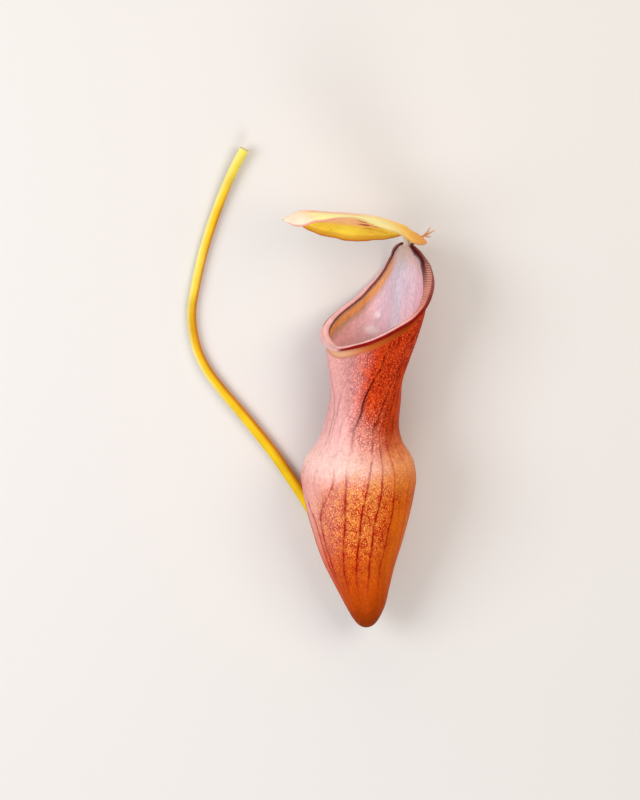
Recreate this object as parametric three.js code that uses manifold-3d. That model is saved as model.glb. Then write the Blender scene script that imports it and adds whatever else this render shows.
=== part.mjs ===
// Trap of a tropical pitcher plant, picked with its tendril and lying on a surface.
// Millimetres, +Z up. The trap is one rolled leaf: a hollow cup with a ribbed rim, a lid on a
// short stalk, a branched spur behind the lid and the tendril that carried it.
//
// The cup, rim, lid and spur are drawn in the trap's own frame: X to its front, Y to one side,
// Z along its long axis with the tip at zero. A group then lays them down. The tendril is drawn
// as it lies, from the same tip.

import * as THREE from 'three';
import { mergeVertices } from 'three/addons/utils/BufferGeometryUtils.js';
import Module from 'manifold-3d';

const wasm = await Module();
wasm.setup();

const DEG = Math.PI / 180;
// Clearance between pieces that grow out of one another.
const SEAT_GAP = 0.3;

// How the trap lies: turned about its long axis, the mouth end a little high.
const ROLL = 35;
const MOUTH_LIFT = 4.24;
const TIP_HEIGHT = 17.4;

// Cup: height along the axis, then the radius there, from the round tip over the hip to the neck.
const CUP_PROFILE = [
  [0, 0], [1.8, 4.0], [5.5, 6.6], [10.6, 9], [18, 11.5], [25.4, 14], [42.5, 19.7], [61, 24.3],
  [69.5, 25.5], [77.2, 24.2], [86.4, 18.6], [93.3, 16.5], [101, 15.8], [125, 15.4], [180, 15.4],
];
// How far the axis bows to the front at each height.
const AXIS_BOW = [
  [0, 0.4], [9, 0.8], [20, 2.4], [33, 4], [66, 4.5], [90, 3.3], [109, 0.5], [125, 0], [180, 0],
];
const WALL = 1.1;
// The rows of the wall are level up to the neck's foot, which this share of them reaches.
const NECK_BASE = 95;
const NECK_SHARE = 0.6;
// Shares of the neck over which its round section flares out to the mouth's.
const FLARE = [0.2, 0.98];
const CUP_COLUMNS = 72;
const OUTSIDE = { rows: 30, from: 0.03 };
const INSIDE = { rows: 17, from: 0.06 };

// Mouth: angle round from the front, then its radius and its height, up to the apex at the back.
const MOUTH_RADIUS = [
  [0, 17.5], [45, 19.5], [90, 21.2], [113, 23.9], [128, 26.7], [143, 28], [152, 27], [161, 24.3],
  [171, 22.7], [180, 22.3],
];
const MOUTH_HEIGHT = [
  [0, 131.6], [45, 135.2], [90, 141.8], [113, 146.1], [128, 151.6], [140, 157.9], [151, 165.3],
  [160, 170.2], [171, 173.5], [180, 174.6],
];
// How far below and inside the rim's middle line the cup's wall ends.
const WALL_TOP_BELOW = 1;
const WALL_TOP_INSIDE = 0.6;

// Raised veins run up the cup. Two of them are stout ribs that edge a flatter front panel.
const VEIN_STEP = 20;
const VEIN_RISE = 0.25;
const RIB_ANGLE = 40;
const RIB_RISE = 0.6;
// Shares of the way up over which the veins rise and sink again.
const VEINS_START = [0.12, 0.3];
const VEINS_END = [0.75, 0.95];
// Degrees by which the lines spread from the front at each share of the neck, most near the ribs.
const PANEL_SPREAD = [[0, 0], [0.05, 3], [0.4, 24], [0.72, 54], [1, 60]];
const SPREAD_SKEW = 1.2;

// Rim: a ribbed band that rolls outward, open at the back where the lid's stalk stands.
const RIM_END = 170;
const RIM_RIBS = 84;
const RIM_RIB_RISE = 0.22;
const RIM_TAPER = 9;
const RIM_END_SIZE = 0.55;
// Its section, across and up from the mouth's line: six points on top, then the underside.
const RIM_TOP_POINTS = 6;
const RIM_SECTION = [
  [-2, -0.35], [-1.75, 0.45], [-0.8, 0.85], [0.4, 0.7], [1.35, 0.15], [1.95, -0.7], [2.05, -1.6],
  [1.45, -1.6], [1.1, -0.85], [0.3, -0.3], [-1.1, -0.1],
];

// Lid: the ridge of its midrib from the stalk to the tip, front distance and height.
const LID_RIDGE = [
  [-29.6, 178.4], [-23.6, 181.3], [-15.3, 185.2], [-4.4, 189.3], [9.4, 192.5], [20.3, 194.4],
  [36.9, 196.3], [45.4, 194],
];
const LID_STALK_AT = 0.12;
const RIDGE_LENGTH = 78;
const LID_THICK = 0.9;
const LID_WAVE = 0.5;
const LID_WAVES = 23;
const LID_ROWS = 26;
const LID_HALF_COLUMNS = 5;
// Outline from the notch round a rear lobe to the tip: share of the ridge, then half width.
const LID_OUTLINE_NEAR = [
  [0.12, 0.6], [0.03, 3], [0, 6.5], [0.045, 9.6], [0.14, 11.6], [0.3, 13.2], [0.5, 14.4],
  [0.66, 14.8], [0.8, 12.8], [0.9, 9.4], [0.965, 6.4], [1, 0.6],
];
const LID_OUTLINE_FAR = [
  [0.12, 0.6], [0.1, 3], [0.12, 5.6], [0.18, 8.8], [0.29, 12.6], [0.42, 14], [0.57, 13.4],
  [0.71, 11], [0.83, 8.2], [0.93, 5], [1, 0.6],
];
// Share of the ridge, then how many degrees each half droops. The midrib has only part of it.
const LID_DROOP_NEAR = [
  [0, 34], [0.13, 34], [0.32, 18], [0.5, 5], [0.7, -3], [0.86, 14], [0.94, 38], [1, 44],
];
const LID_DROOP_FAR = [[0, 48], [0.2, 58], [0.5, 61], [1, 61]];
const DROOP_AT_MIDRIB = 0.75;

// The lid's stalk rises from the cup's apex.
const STALK = [[-21.6, 0, 171.5], [-21.6, 0, 174.5], [-21, 0, 177.5], [-20.3, 0, 180.2]];
const STALK_RADIUS = [[0, 1.9], [0.5, 1.5], [1, 1]];

// Spur: its stem, then its three short branches.
const SPUR_STEM = [[-24.1, 0, 172.9], [-27.6, 0.3, 175], [-31.3, 0.2, 176.5]];
const SPUR_BRANCHES = [
  [[-30.7, 0.2, 176.3], [-32.9, 0.5, 178.2], [-34.4, 0.2, 180.4]],
  [[-31, 0.2, 176.4], [-34.2, -0.3, 177], [-37.2, 0.2, 178.2]],
  [[-31, 0.2, 176.4], [-33.1, 0.6, 175.7], [-34.8, 0.3, 175.4]],
];
const SPUR_RADIUS = [[0, 0.75], [1, 0.53]];
const BRANCH_RADIUS = [[0, 0.42], [1, 0.32]];

// Tendril as it lies, from the cut end to the cup's underside: across, along, height of its centre.
const TENDRIL_ROUTE = [
  [-55.1, 215.2, 4.6], [-61.1, 203.2, 3.3], [-67.7, 186.6, 2.3], [-73, 170.2, 2.05],
  [-76.9, 153.7, 2], [-78.9, 140.1, 2], [-76.9, 125.9, 2.15], [-72.3, 115.4, 2.3],
  [-64.3, 104.5, 2.35], [-54.9, 93.3, 2.4], [-42.1, 77.1, 2.4], [-34.7, 66.2, 2.6], [-27, 54.5, 3.1],
  [-19.8, 41.8, 4.2], [-12.2, 27.8, 6.4], [-5.9, 15.6, 10], [-2.8, 9.4, 13.4],
];
const TENDRIL_RADIUS = [[0, 2.15], [0.42, 2.1], [0.58, 2.4], [0.88, 2.5], [1, 3]];

const SKINS = {
  pitcher_cup: { color: 0xd9693f, roughness: 0.45 },
  peristome: { color: 0x9e2f26, roughness: 0.3 },
  lid: { color: 0xf0c85a, roughness: 0.5 },
  spur: { color: 0xd9824a, roughness: 0.6 },
  tendril: { color: 0xe0b02a, roughness: 0.45 },
};

const spread = (count, from, to) => Array.from(
  { length: count }, (_, i) => from + (i / (count - 1)) * (to - from));

// A smooth curve through points, level at both ends where asked, that never overshoots them.
function through(points, levelEnds = false) {
  const last = points.length - 1;
  const steps = points.slice(1).map(([x, y], i) => (y - points[i][1]) / (x - points[i][0]));
  const slopes = points.map((_, i) => {
    if (i === 0) return levelEnds ? 0 : steps[0];
    if (i === last) return levelEnds ? 0 : steps[last - 1];
    const [before, after] = [steps[i - 1], steps[i]];
    return before * after > 0 ? (2 * before * after) / (before + after) : 0;
  });
  return (x) => {
    let i = 0;
    while (i < last - 1 && x > points[i + 1][0]) i += 1;
    const span = points[i + 1][0] - points[i][0];
    const t = THREE.MathUtils.clamp((x - points[i][0]) / span, 0, 1);
    const rise = t * t * (3 - 2 * t);
    return points[i][1] * (1 - rise) + points[i + 1][1] * rise
      + span * (slopes[i] * t * (1 - t) ** 2 - slopes[i + 1] * t * t * (1 - t));
  };
}

const cupRadiusByRoot = through(CUP_PROFILE.map(([z, r]) => [Math.sqrt(z), r]));
const cupRadius = (z) => cupRadiusByRoot(Math.sqrt(Math.max(z, 0)));
const axisBow = through(AXIS_BOW, true);
const mouthRadius = through(MOUTH_RADIUS, true);
const mouthHeight = through(MOUTH_HEIGHT, true);
const panelSpread = through(PANEL_SPREAD);

// A closed skin over rings of points that all have the same count, with a fan over each end.
function skinOverRings(rings) {
  const count = rings[0].length;
  const points = rings.flat();
  const ends = [rings[0], rings.at(-1)].map((ring) => ring
    .reduce((sum, p) => sum.add(p), new THREE.Vector3()).divideScalar(count));
  const index = [];
  for (let row = 0; row < rings.length - 1; row += 1) {
    for (let col = 0; col < count; col += 1) {
      const [a, b] = [row * count + col, row * count + ((col + 1) % count)];
      index.push(a, b, b + count, a, b + count, a + count);
    }
  }
  const top = points.length - count;
  for (let col = 0; col < count; col += 1) {
    const next = (col + 1) % count;
    index.push(points.length, next, col);
    index.push(points.length + 1, top + col, top + next);
  }
  return closedGeometry([...points, ...ends], index);
}

// A thin blade over a grid of mid points, split into triangles alike on both faces.
function bladeOverGrid(rows, thick) {
  const [tall, wide] = [rows.length, rows[0].length];
  const held = (i, count) => THREE.MathUtils.clamp(i, 0, count - 1);
  const at = (r, c) => rows[held(r, tall)][held(c, wide)];
  const faces = [0.5, -0.5].map((side) => rows.flatMap((row, r) => row.map((p, c) => {
    const along = at(r + 1, c).clone().sub(at(r - 1, c));
    const across = at(r, c + 1).clone().sub(at(r, c - 1));
    return p.clone().addScaledVector(along.cross(across).normalize(), side * thick);
  })));
  const size = tall * wide;
  const index = [];
  for (let r = 0; r < tall - 1; r += 1) {
    for (let c = 0; c < wide - 1; c += 1) {
      const a = r * wide + c;
      const [b, d, e] = [a + 1, a + wide, a + wide + 1];
      index.push(a, d, e, a, e, b);
      index.push(size + a, size + e, size + d, size + a, size + b, size + e);
    }
  }
  const edge = [];
  for (let c = 0; c < wide; c += 1) edge.push(c);
  for (let r = 1; r < tall; r += 1) edge.push(r * wide + wide - 1);
  for (let c = wide - 2; c >= 0; c -= 1) edge.push((tall - 1) * wide + c);
  for (let r = tall - 2; r > 0; r -= 1) edge.push(r * wide);
  edge.forEach((a, i) => {
    const b = edge[(i + 1) % edge.length];
    index.push(a, b, size + b, a, size + b, size + a);
  });
  return closedGeometry([...faces[0], ...faces[1]], index);
}

// A round tapering rod along a smooth path.
function rod(path, radiusAt, sides, steps, settle = (point) => point) {
  const frames = path.computeFrenetFrames(steps, false);
  const rings = [];
  for (let i = 0; i <= steps; i += 1) {
    const centre = path.getPointAt(i / steps);
    const radius = radiusAt(i / steps);
    rings.push(Array.from({ length: sides }, (_, k) => {
      const turn = ((k + 0.5) / sides) * 2 * Math.PI;
      return settle(centre.clone()
        .addScaledVector(frames.normals[i], radius * Math.cos(turn))
        .addScaledVector(frames.binormals[i], radius * Math.sin(turn)));
    }));
  }
  return skinOverRings(rings);
}

function closedGeometry(points, index) {
  const geometry = new THREE.BufferGeometry().setFromPoints(points);
  geometry.setIndex(index);
  return geometry;
}

function pathThrough(points) {
  return new THREE.CatmullRomCurve3(points.map((p) => new THREE.Vector3(...p)), false, 'centripetal');
}

function toSolid(geometry) {
  const plain = geometry.clone();
  plain.deleteAttribute('normal');
  plain.deleteAttribute('uv');
  const merged = mergeVertices(plain, 1e-5);
  return new wasm.Manifold(new wasm.Mesh({
    numProp: 3,
    vertProperties: new Float32Array(merged.attributes.position.array),
    triVerts: new Uint32Array(merged.index.array),
  }));
}

function toGeometry(solid) {
  const mesh = solid.getMesh();
  const geometry = new THREE.BufferGeometry();
  geometry.setAttribute('position', new THREE.BufferAttribute(new Float32Array(mesh.vertProperties), 3));
  geometry.setIndex(new THREE.BufferAttribute(new Uint32Array(mesh.triVerts), 1));
  return geometry;
}

// The pose: the trap's frame turned so that its front looks up and to one side.
const lie = new THREE.Matrix4().makeRotationX(MOUTH_LIFT * DEG)
  .multiply(new THREE.Matrix4().makeBasis(
    new THREE.Vector3(-Math.cos(ROLL * DEG), 0, Math.sin(ROLL * DEG)),
    new THREE.Vector3(Math.sin(ROLL * DEG), 0, Math.cos(ROLL * DEG)),
    new THREE.Vector3(0, 1, 0),
  ));
lie.setPosition(0, 0, TIP_HEIGHT);
const stand = lie.clone().invert();

// Anything lower than the surface is pressed flat against it: that makes the rest spots.
function lieFlat(point) {
  return point.setZ(Math.max(point.z, 0));
}

function pressFlat(point) {
  const lying = point.clone().applyMatrix4(lie);
  return lying.z < 0 ? lieFlat(lying).applyMatrix4(stand) : point;
}

// A point of the cup's outer wall: its line in degrees round from the front, then the share of the
// way up. Rows are level up to the neck's foot, closer near the tip, then tilt with the mouth.
function wallPoint(line, share, swell = 0) {
  const up = Math.max(0, (share - NECK_SHARE) / (1 - NECK_SHARE));
  const fan = Math.abs(line) / 180;
  const bump = Math.sin(Math.PI * fan * (1 + SPREAD_SKEW) / (1 + SPREAD_SKEW * fan));
  const angle = line + Math.sign(line) * panelSpread(up) * bump;
  const top = mouthHeight(Math.abs(angle)) - WALL_TOP_BELOW;
  const z = up > 0 ? NECK_BASE + up * (top - NECK_BASE) : NECK_BASE * (share / NECK_SHARE) ** 1.5;
  const mouth = mouthRadius(Math.abs(angle)) - WALL_TOP_INSIDE;
  const flare = THREE.MathUtils.smoothstep(up, ...FLARE);
  const radius = THREE.MathUtils.lerp(cupRadius(z), mouth, flare) + swell;
  return new THREE.Vector3(
    axisBow(z) + radius * Math.cos(angle * DEG), radius * Math.sin(angle * DEG), z);
}

// Height of the veins and ribs on a line: they fade at the tip and under the rim.
function veinRise(line, share) {
  const side = Math.abs(line);
  const sunk = THREE.MathUtils.smoothstep(share, ...VEINS_END);
  const fade = THREE.MathUtils.smoothstep(share, ...VEINS_START) * (1 - sunk);
  if (side === RIB_ANGLE) return RIB_RISE * fade;
  return side % VEIN_STEP === 0 && side > 0 ? VEIN_RISE * fade : 0;
}

// Rings of wall points, each moved straight in by a depth, with or without the raised veins.
function cupRings({ rows, from }, depth, veined) {
  const nudge = 0.004;
  const lines = spread(CUP_COLUMNS + 1, -180, 180).slice(0, CUP_COLUMNS);
  return spread(rows, from, 1).map((share) => lines.map((line) => {
    const point = wallPoint(line, share, veined ? veinRise(line, share) : 0);
    const along = wallPoint(line, Math.min(share + nudge, 1)).sub(wallPoint(line, share - nudge));
    const round = wallPoint(line + 1, share).sub(wallPoint(line - 1, share));
    return point.addScaledVector(round.cross(along).normalize(), -depth);
  }));
}

// The cup is one skin, up the outside and down the inside, with the lid's stalk grown on.
function pitcherCup() {
  const outside = cupRings(OUTSIDE, 0, true).map((ring) => ring.map(pressFlat));
  const inside = cupRings(INSIDE, WALL, false).reverse();
  const cup = toSolid(skinOverRings([...outside, ...inside]));
  const stalk = toSolid(rod(pathThrough(STALK), through(STALK_RADIUS), 8, 5));
  return toGeometry(cup.add(stalk));
}

// The rim's band follows the mouth, its face square to the wall, with a rib at every other ring.
function peristome() {
  const count = 2 * RIM_RIBS + 1;
  const mouthPoint = (angle) => new THREE.Vector3(
    mouthRadius(Math.abs(angle)) * Math.cos(angle * DEG),
    mouthRadius(Math.abs(angle)) * Math.sin(angle * DEG),
    mouthHeight(Math.abs(angle)));
  const rings = spread(count, -RIM_END, RIM_END).map((angle, i) => {
    const along = mouthPoint(angle + 0.5).sub(mouthPoint(angle - 0.5)).normalize();
    const up = new THREE.Vector3(0, 0, 1);
    up.addScaledVector(along, -up.dot(along)).normalize();
    const out = along.clone().cross(up);
    const taper = THREE.MathUtils.smoothstep(RIM_END - Math.abs(angle), 0, RIM_TAPER);
    const size = THREE.MathUtils.lerp(RIM_END_SIZE, 1, taper);
    const rib = i % 2 === 1 ? RIM_RIB_RISE : 0;
    return RIM_SECTION.map(([across, height], k) => {
      const lift = k > 0 && k < RIM_TOP_POINTS ? rib : 0;
      return mouthPoint(angle)
        .addScaledVector(out, size * across * (1 + lift / 3))
        .addScaledVector(up, size * (height + lift));
    }).map(pressFlat);
  });
  return skinOverRings(rings);
}

// The lid: a folded blade whose two halves droop from the midrib, with two rear lobes.
function lid() {
  const ridge = new THREE.CatmullRomCurve3(LID_RIDGE.map(([x, z]) => new THREE.Vector3(x, 0, z)));
  const outlines = [LID_OUTLINE_FAR, LID_OUTLINE_NEAR].map((points) => new THREE.CatmullRomCurve3(
    points.map(([share, half]) => new THREE.Vector3(share * RIDGE_LENGTH, half, 0))));
  const near = through(LID_DROOP_NEAR);
  const far = through(LID_DROOP_FAR);
  const grid = spread(LID_ROWS, 0, 1).map((t) => {
    const edges = outlines.map((outline) => outline.getPointAt(t));
    return spread(2 * LID_HALF_COLUMNS + 1, -1, 1).map((side) => {
      const edge = edges[side > 0 ? 1 : 0];
      const middle = LID_STALK_AT + (1 - LID_STALK_AT) * t;
      const share = THREE.MathUtils.lerp(middle, edge.x / RIDGE_LENGTH, Math.abs(side));
      const reach = Math.abs(side) * edge.y;
      const root = ridge.getPointAt(THREE.MathUtils.clamp(share, 0, 1));
      const along = ridge.getTangentAt(THREE.MathUtils.clamp(share, 0, 1));
      const up = new THREE.Vector3(-along.z, 0, along.x);
      const part = THREE.MathUtils.lerp(DROOP_AT_MIDRIB, 1, Math.abs(side));
      const droop = (side > 0 ? near(share) : far(share)) * DEG * part;
      const wave = LID_WAVE * side * side * Math.sin(t * LID_WAVES + (side > 0 ? 0 : 2));
      return root
        .addScaledVector(up, wave - reach * Math.sin(droop))
        .add(new THREE.Vector3(0, Math.sign(side) * reach * Math.cos(droop), 0));
    });
  });
  return bladeOverGrid(grid, LID_THICK);
}

function spur() {
  const stem = rod(pathThrough(SPUR_STEM), through(SPUR_RADIUS), 6, 4);
  const solid = SPUR_BRANCHES.reduce((whole, branch) => {
    const twig = rod(pathThrough(branch), through(BRANCH_RADIUS), 6, 4);
    return whole.add(toSolid(twig));
  }, toSolid(stem));
  return toGeometry(solid);
}

// The tendril runs up to the cup's underside and stops a hair short of its skin.
function tendril() {
  const radiusAt = through(TENDRIL_RADIUS);
  const route = toSolid(rod(pathThrough(TENDRIL_ROUTE), radiusAt, 10, 64, lieFlat));
  const skin = skinOverRings(cupRings(OUTSIDE, -SEAT_GAP, true));
  return toGeometry(route.subtract(toSolid(skin.applyMatrix4(lie))));
}

function piece(name, geometry) {
  geometry.computeVertexNormals();
  const skin = new THREE.MeshStandardMaterial({ ...SKINS[name], metalness: 0 });
  const mesh = new THREE.Mesh(geometry, skin);
  mesh.name = name;
  return mesh;
}

const trap = new THREE.Group();
trap.add(
  piece('pitcher_cup', pitcherCup()),
  piece('peristome', peristome()),
  piece('lid', lid()),
  piece('spur', spur()),
);
trap.applyMatrix4(lie);

const group = new THREE.Group();
group.add(trap, piece('tendril', tendril()));

// The origin stands under the middle of the whole picked trap.
const box = new THREE.Box3().setFromObject(group, true);
group.position.set(-(box.min.x + box.max.x) / 2, -(box.min.y + box.max.y) / 2, 0);

export default group;
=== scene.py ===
"""Trap of a tropical pitcher plant, picked with its tendril and laid on a pale table."""

import bpy
import numpy as np
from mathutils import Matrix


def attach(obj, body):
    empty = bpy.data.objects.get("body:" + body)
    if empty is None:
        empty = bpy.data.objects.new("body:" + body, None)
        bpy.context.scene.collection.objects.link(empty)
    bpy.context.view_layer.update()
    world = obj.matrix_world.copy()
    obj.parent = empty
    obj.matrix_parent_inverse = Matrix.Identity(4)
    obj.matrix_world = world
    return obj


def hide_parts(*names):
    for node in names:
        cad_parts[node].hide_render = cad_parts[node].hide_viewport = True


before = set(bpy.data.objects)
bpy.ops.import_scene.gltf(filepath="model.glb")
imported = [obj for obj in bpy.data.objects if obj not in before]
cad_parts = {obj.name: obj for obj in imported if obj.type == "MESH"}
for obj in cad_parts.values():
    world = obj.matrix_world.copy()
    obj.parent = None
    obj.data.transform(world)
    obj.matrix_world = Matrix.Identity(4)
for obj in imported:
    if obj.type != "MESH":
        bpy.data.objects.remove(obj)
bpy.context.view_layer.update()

# ---- The view ---------------------------------------------------------------------------------
# The trap lies on a plain table with its mouth away from the viewer. The camera looks down on it
# through a long lens, leaning a little towards the mouth, so that it sees into the cup.

VIEW_TILT = 8.76  # degrees from straight down
VIEW_CENTRE = (0.0040, -0.0076, 0.0012)
VIEW_TALL = 0.360  # metres from the bottom of the picture to its top
CAMERA_AWAY = 6.0
FILM_TALL = 36.0  # millimetres

tilt = np.radians(VIEW_TILT)
towards_camera = np.array([0, np.sin(tilt), np.cos(tilt)])

camera = bpy.data.objects.new("camera", bpy.data.cameras.new("camera"))
camera.data.sensor_width = FILM_TALL
camera.data.lens = FILM_TALL * CAMERA_AWAY / VIEW_TALL
camera.location = np.array(VIEW_CENTRE) + CAMERA_AWAY * towards_camera
camera.rotation_euler = (-tilt, 0, 0)
bpy.context.collection.objects.link(camera)
bpy.context.scene.camera = camera
bpy.context.scene.view_settings.view_transform = "Standard"


def colour(code):
    """An sRGB hex value turned linear, with full alpha."""
    parts = np.array([int(code[i : i + 2], 16) for i in (1, 3, 5)]) / 255
    linear = np.where(parts <= 0.04045, parts / 12.92, ((parts + 0.055) / 1.055) ** 2.4)
    return (*linear, 1.0)


def fill(owner, node, sockets):
    """Fills a node's sockets, each with a plain value or with another node's output, by a link."""
    for name, value in sockets.items():
        if isinstance(value, bpy.types.NodeSocket):
            owner.node_tree.links.new(value, node.inputs[name])
        else:
            node.inputs[name].default_value = value


def add(material, kind, sockets, **settings):
    """Adds one node with its settings and fills its sockets."""
    made = material.node_tree.nodes.new(kind)
    for name, value in settings.items():
        setattr(made, name, value)
    fill(material, made, sockets)
    return made


def blank_material(name):
    """A material with an empty Principled surface, and that surface's node."""
    made = bpy.data.materials.new(name)
    made.use_nodes = True
    return made, made.node_tree.nodes["Principled BSDF"]


# Painted tabletop: matt, so that it carries only a soft shadow.
TABLE_SIDE = 6.0
TABLE_WHITE = "#DAD8D4"
TABLE_DROP = 0.00005  # the table's paint stands this far under the rest spots

painted_table, table_surface = blank_material("painted_table")
fill(painted_table, table_surface, {"Base Color": colour(TABLE_WHITE), "Roughness": 0.85})

half = TABLE_SIDE / 2
table_corners = [(-half, -half), (half, -half), (half, half), (-half, half)]
table_mesh = bpy.data.meshes.new("table")
table_mesh.from_pydata([(x, y, -TABLE_DROP) for x, y in table_corners], [], [(0, 1, 2, 3)])
table_mesh.materials.append(painted_table)
table = bpy.data.objects.new("table", table_mesh)
bpy.context.collection.objects.link(table)

# Studio light: soft boxes over the trap's left and right and beyond its two ends, in a pale room.
SOFT_BOXES = [
    # name, place, watts, side, colour
    ("key_box", (-0.60, 0.10, 0.62), 4.6, 0.50, "#FBF8FF"),
    ("fill_box", (0.50, 0.30, 0.80), 4.15, 0.60, "#FFF1E2"),
    ("low_box", (0.05, -0.75, 0.60), 2.9, 0.50, "#FFFFFF"),
    ("high_box", (-0.10, 0.85, 0.45), 1.4, 0.50, "#FFF4E2"),
]
ROOM_LIGHT = 0.40
ROOM_TONE = "#EEF0F4"

for name, place, watts, side, tone in SOFT_BOXES:
    box = bpy.data.objects.new(name, bpy.data.lights.new(name, "AREA"))
    box.data.energy = watts
    box.data.size = side
    box.data.color = colour(tone)[:3]
    box.location = place
    box.rotation_euler = box.location.to_track_quat("Z", "Y").to_euler()
    bpy.context.collection.objects.link(box)

room = bpy.data.worlds.new("room")
bpy.context.scene.world = room
room.use_nodes = True
fill(room, room.node_tree.nodes["Background"], {"Color": colour(ROOM_TONE), "Strength": ROOM_LIGHT})

# ---- The cup ----------------------------------------------------------------------------------
# The trap itself: one leaf grown as a hollow cup, firm and waxy, with a round tip, a swollen hip
# and a neck that flares to the slanting mouth. Two stout ribs edge its paler front panel.

# The trap is drawn in millimetres in its own frame, X to its front and Z along it from the tip.
# Laid down, it is rolled about its long axis and its mouth is lifted, with the tip at TIP_AT.
ROLL = 35.0  # degrees
MOUTH_LIFT = 4.24
TIP_AT = (25.116, -108.487, 17.4)

# Height up the cup, then its radius there.
CUP_PROFILE = [
    (0, 0), (1.8, 4.0), (5.5, 6.6), (10.6, 9), (18, 11.5), (25.4, 14), (42.5, 19.7), (61, 24.3),
    (69.5, 25.5), (77.2, 24.2), (86.4, 18.6), (93.3, 16.5), (101, 15.8), (125, 15.4), (180, 15.4),
]
# Height, then how far the cup's middle is bowed to the front.
AXIS_BOW = [
    (0, 0.4), (9, 0.8), (20, 2.4), (33, 4), (66, 4.5), (90, 3.3), (109, 0.5), (125, 0), (180, 0),
]
# Degrees round from the front, then the mouth's radius and its height.
MOUTH_RADIUS = [
    (0, 17.5), (45, 19.5), (90, 21.2), (113, 23.9), (128, 26.7), (143, 28), (152, 27),
    (161, 24.3), (171, 22.7), (180, 22.3),
]
MOUTH_HEIGHT = [
    (0, 131.6), (45, 135.2), (90, 141.8), (113, 146.1), (128, 151.6), (140, 157.9), (151, 165.3),
    (160, 170.2), (171, 173.5), (180, 174.6),
]
# Share of the way up the neck, then by how many degrees its lines swing away from the front.
PANEL_SPREAD = [(0, 0), (0.05, 3), (0.4, 24), (0.72, 54), (1, 60)]
SPREAD_SKEW = 1.2  # how much nearer to the front the lines that swing most stand
NECK_BASE = 95.0
NECK_SHARE = 0.6  # the neck's foot, as a share of the way up
TIP_CROWDING = 1.5  # how much closer the level rings stand towards the tip
FLARE = (0.2, 0.98)  # where the neck starts to widen and where it is as wide as the mouth
WALL = 1.1
WALL_TOP_BELOW = 1.0  # the wall ends this far under the rim's middle, and this far inside it
WALL_TOP_INSIDE = 0.6
CUP_COLUMNS = 420
OUTSIDE_ROWS = 176
INSIDE_ROWS = 44
FIRST_RING = 0.012  # share of the way up of the ring next to the tip
INNER_REACH = 0.94  # share of the way down that the inner wall reaches
TIP_ROUND = 0.2  # the tip stands this far past the first ring
LINE_STEP = 0.5  # small steps for directions: degrees round the cup, and a share along
SHARE_STEP = 0.002


def through(knots, level=False):
    """A curve through points that never overshoots them: cubic pieces whose slope at each point
    is the harmonic mean of the steps beside it, or level at a peak."""
    x, y = np.array(knots, float).T
    steps = np.diff(y) / np.diff(x)
    slopes = np.zeros(len(x))
    rising = steps[:-1] * steps[1:] > 0
    total = np.where(rising, steps[:-1] + steps[1:], 1)
    slopes[1:-1] = np.where(rising, 2 * steps[:-1] * steps[1:] / total, 0)
    if not level:
        slopes[0], slopes[-1] = steps[0], steps[-1]

    def curve(at):
        at = np.clip(at, x[0], x[-1])
        i = np.clip(np.searchsorted(x, at, side="right") - 1, 0, len(x) - 2)
        span = x[i + 1] - x[i]
        t = (at - x[i]) / span
        rise = t * t * (3 - 2 * t)
        bend = slopes[i] * t * (1 - t) ** 2 - slopes[i + 1] * t * t * (1 - t)
        return y[i] * (1 - rise) + y[i + 1] * rise + span * bend

    return curve


def ease(value, start, end):
    """0 up to start, 1 past end, and a smooth S between."""
    t = np.clip((value - start) / (end - start), 0, 1)
    return t * t * (3 - 2 * t)


def turned_down():
    """The turn that lays the trap down: a roll about its long axis, then a tilt of its tip."""
    roll, lift = np.radians(ROLL), np.radians(MOUTH_LIFT)
    rolled = [[-np.cos(roll), 0, np.sin(roll)], [np.sin(roll), 0, np.cos(roll)], [0, 1, 0]]
    tilted = [[1, 0, 0], [0, np.cos(lift), np.sin(lift)], [0, -np.sin(lift), np.cos(lift)]]
    return np.array(rolled) @ np.array(tilted)


def settled(points):
    """Points of the trap's frame where they lie on the table, in metres. What would go below the
    table is pressed flat."""
    lying = points @ turned_down() + np.array(TIP_AT)
    lying[..., 2] = np.maximum(lying[..., 2], 0)
    return lying / 1000


radius_by_root = through([(np.sqrt(z), r) for z, r in CUP_PROFILE])
axis_bow = through(AXIS_BOW, level=True)
mouth_radius = through(MOUTH_RADIUS, level=True)
mouth_height = through(MOUTH_HEIGHT, level=True)
panel_spread = through(PANEL_SPREAD)


def swung(line, share):
    """The angle round the cup at which a line stands, and how far up the neck it is. The lines run
    straight up to the neck's foot and then swing away from the front panel."""
    up = np.maximum(0, (share - NECK_SHARE) / (1 - NECK_SHARE))
    fan = np.abs(line) / 180
    swing = np.sin(np.pi * fan * (1 + SPREAD_SKEW) / (1 + SPREAD_SKEW * fan))
    return line + np.sign(line) * panel_spread(up) * swing, up


def wall_point(line, share, swell=0.0):
    """A point of the cup's skin. The line is in degrees round from the front and the share runs
    from the tip to the rim: level rings up to the neck's foot, then rings that tilt and flare to
    the mouth."""
    line, share = np.broadcast_arrays(np.asarray(line, float), np.asarray(share, float))
    angle, up = swung(line, share)
    top = mouth_height(np.abs(angle)) - WALL_TOP_BELOW
    low = NECK_BASE * (share / NECK_SHARE) ** TIP_CROWDING
    height = np.where(up > 0, NECK_BASE + up * (top - NECK_BASE), low)
    flare = ease(up, *FLARE)
    mouth = mouth_radius(np.abs(angle)) - WALL_TOP_INSIDE
    radius = radius_by_root(np.sqrt(height)) * (1 - flare) + mouth * flare + swell
    turn = np.radians(angle)
    return np.stack(
        [axis_bow(height) + radius * np.cos(turn), radius * np.sin(turn), height], axis=-1
    )


def wall_normal(line, share):
    """The skin's outward direction, square to small steps along and round it."""
    above = wall_point(line, np.minimum(share + SHARE_STEP, 1))
    along = above - wall_point(line, share - SHARE_STEP)
    round_ = wall_point(line + LINE_STEP, share) - wall_point(line - LINE_STEP, share)
    square = np.cross(round_, along)
    return square / np.linalg.norm(square, axis=-1, keepdims=True)


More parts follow.
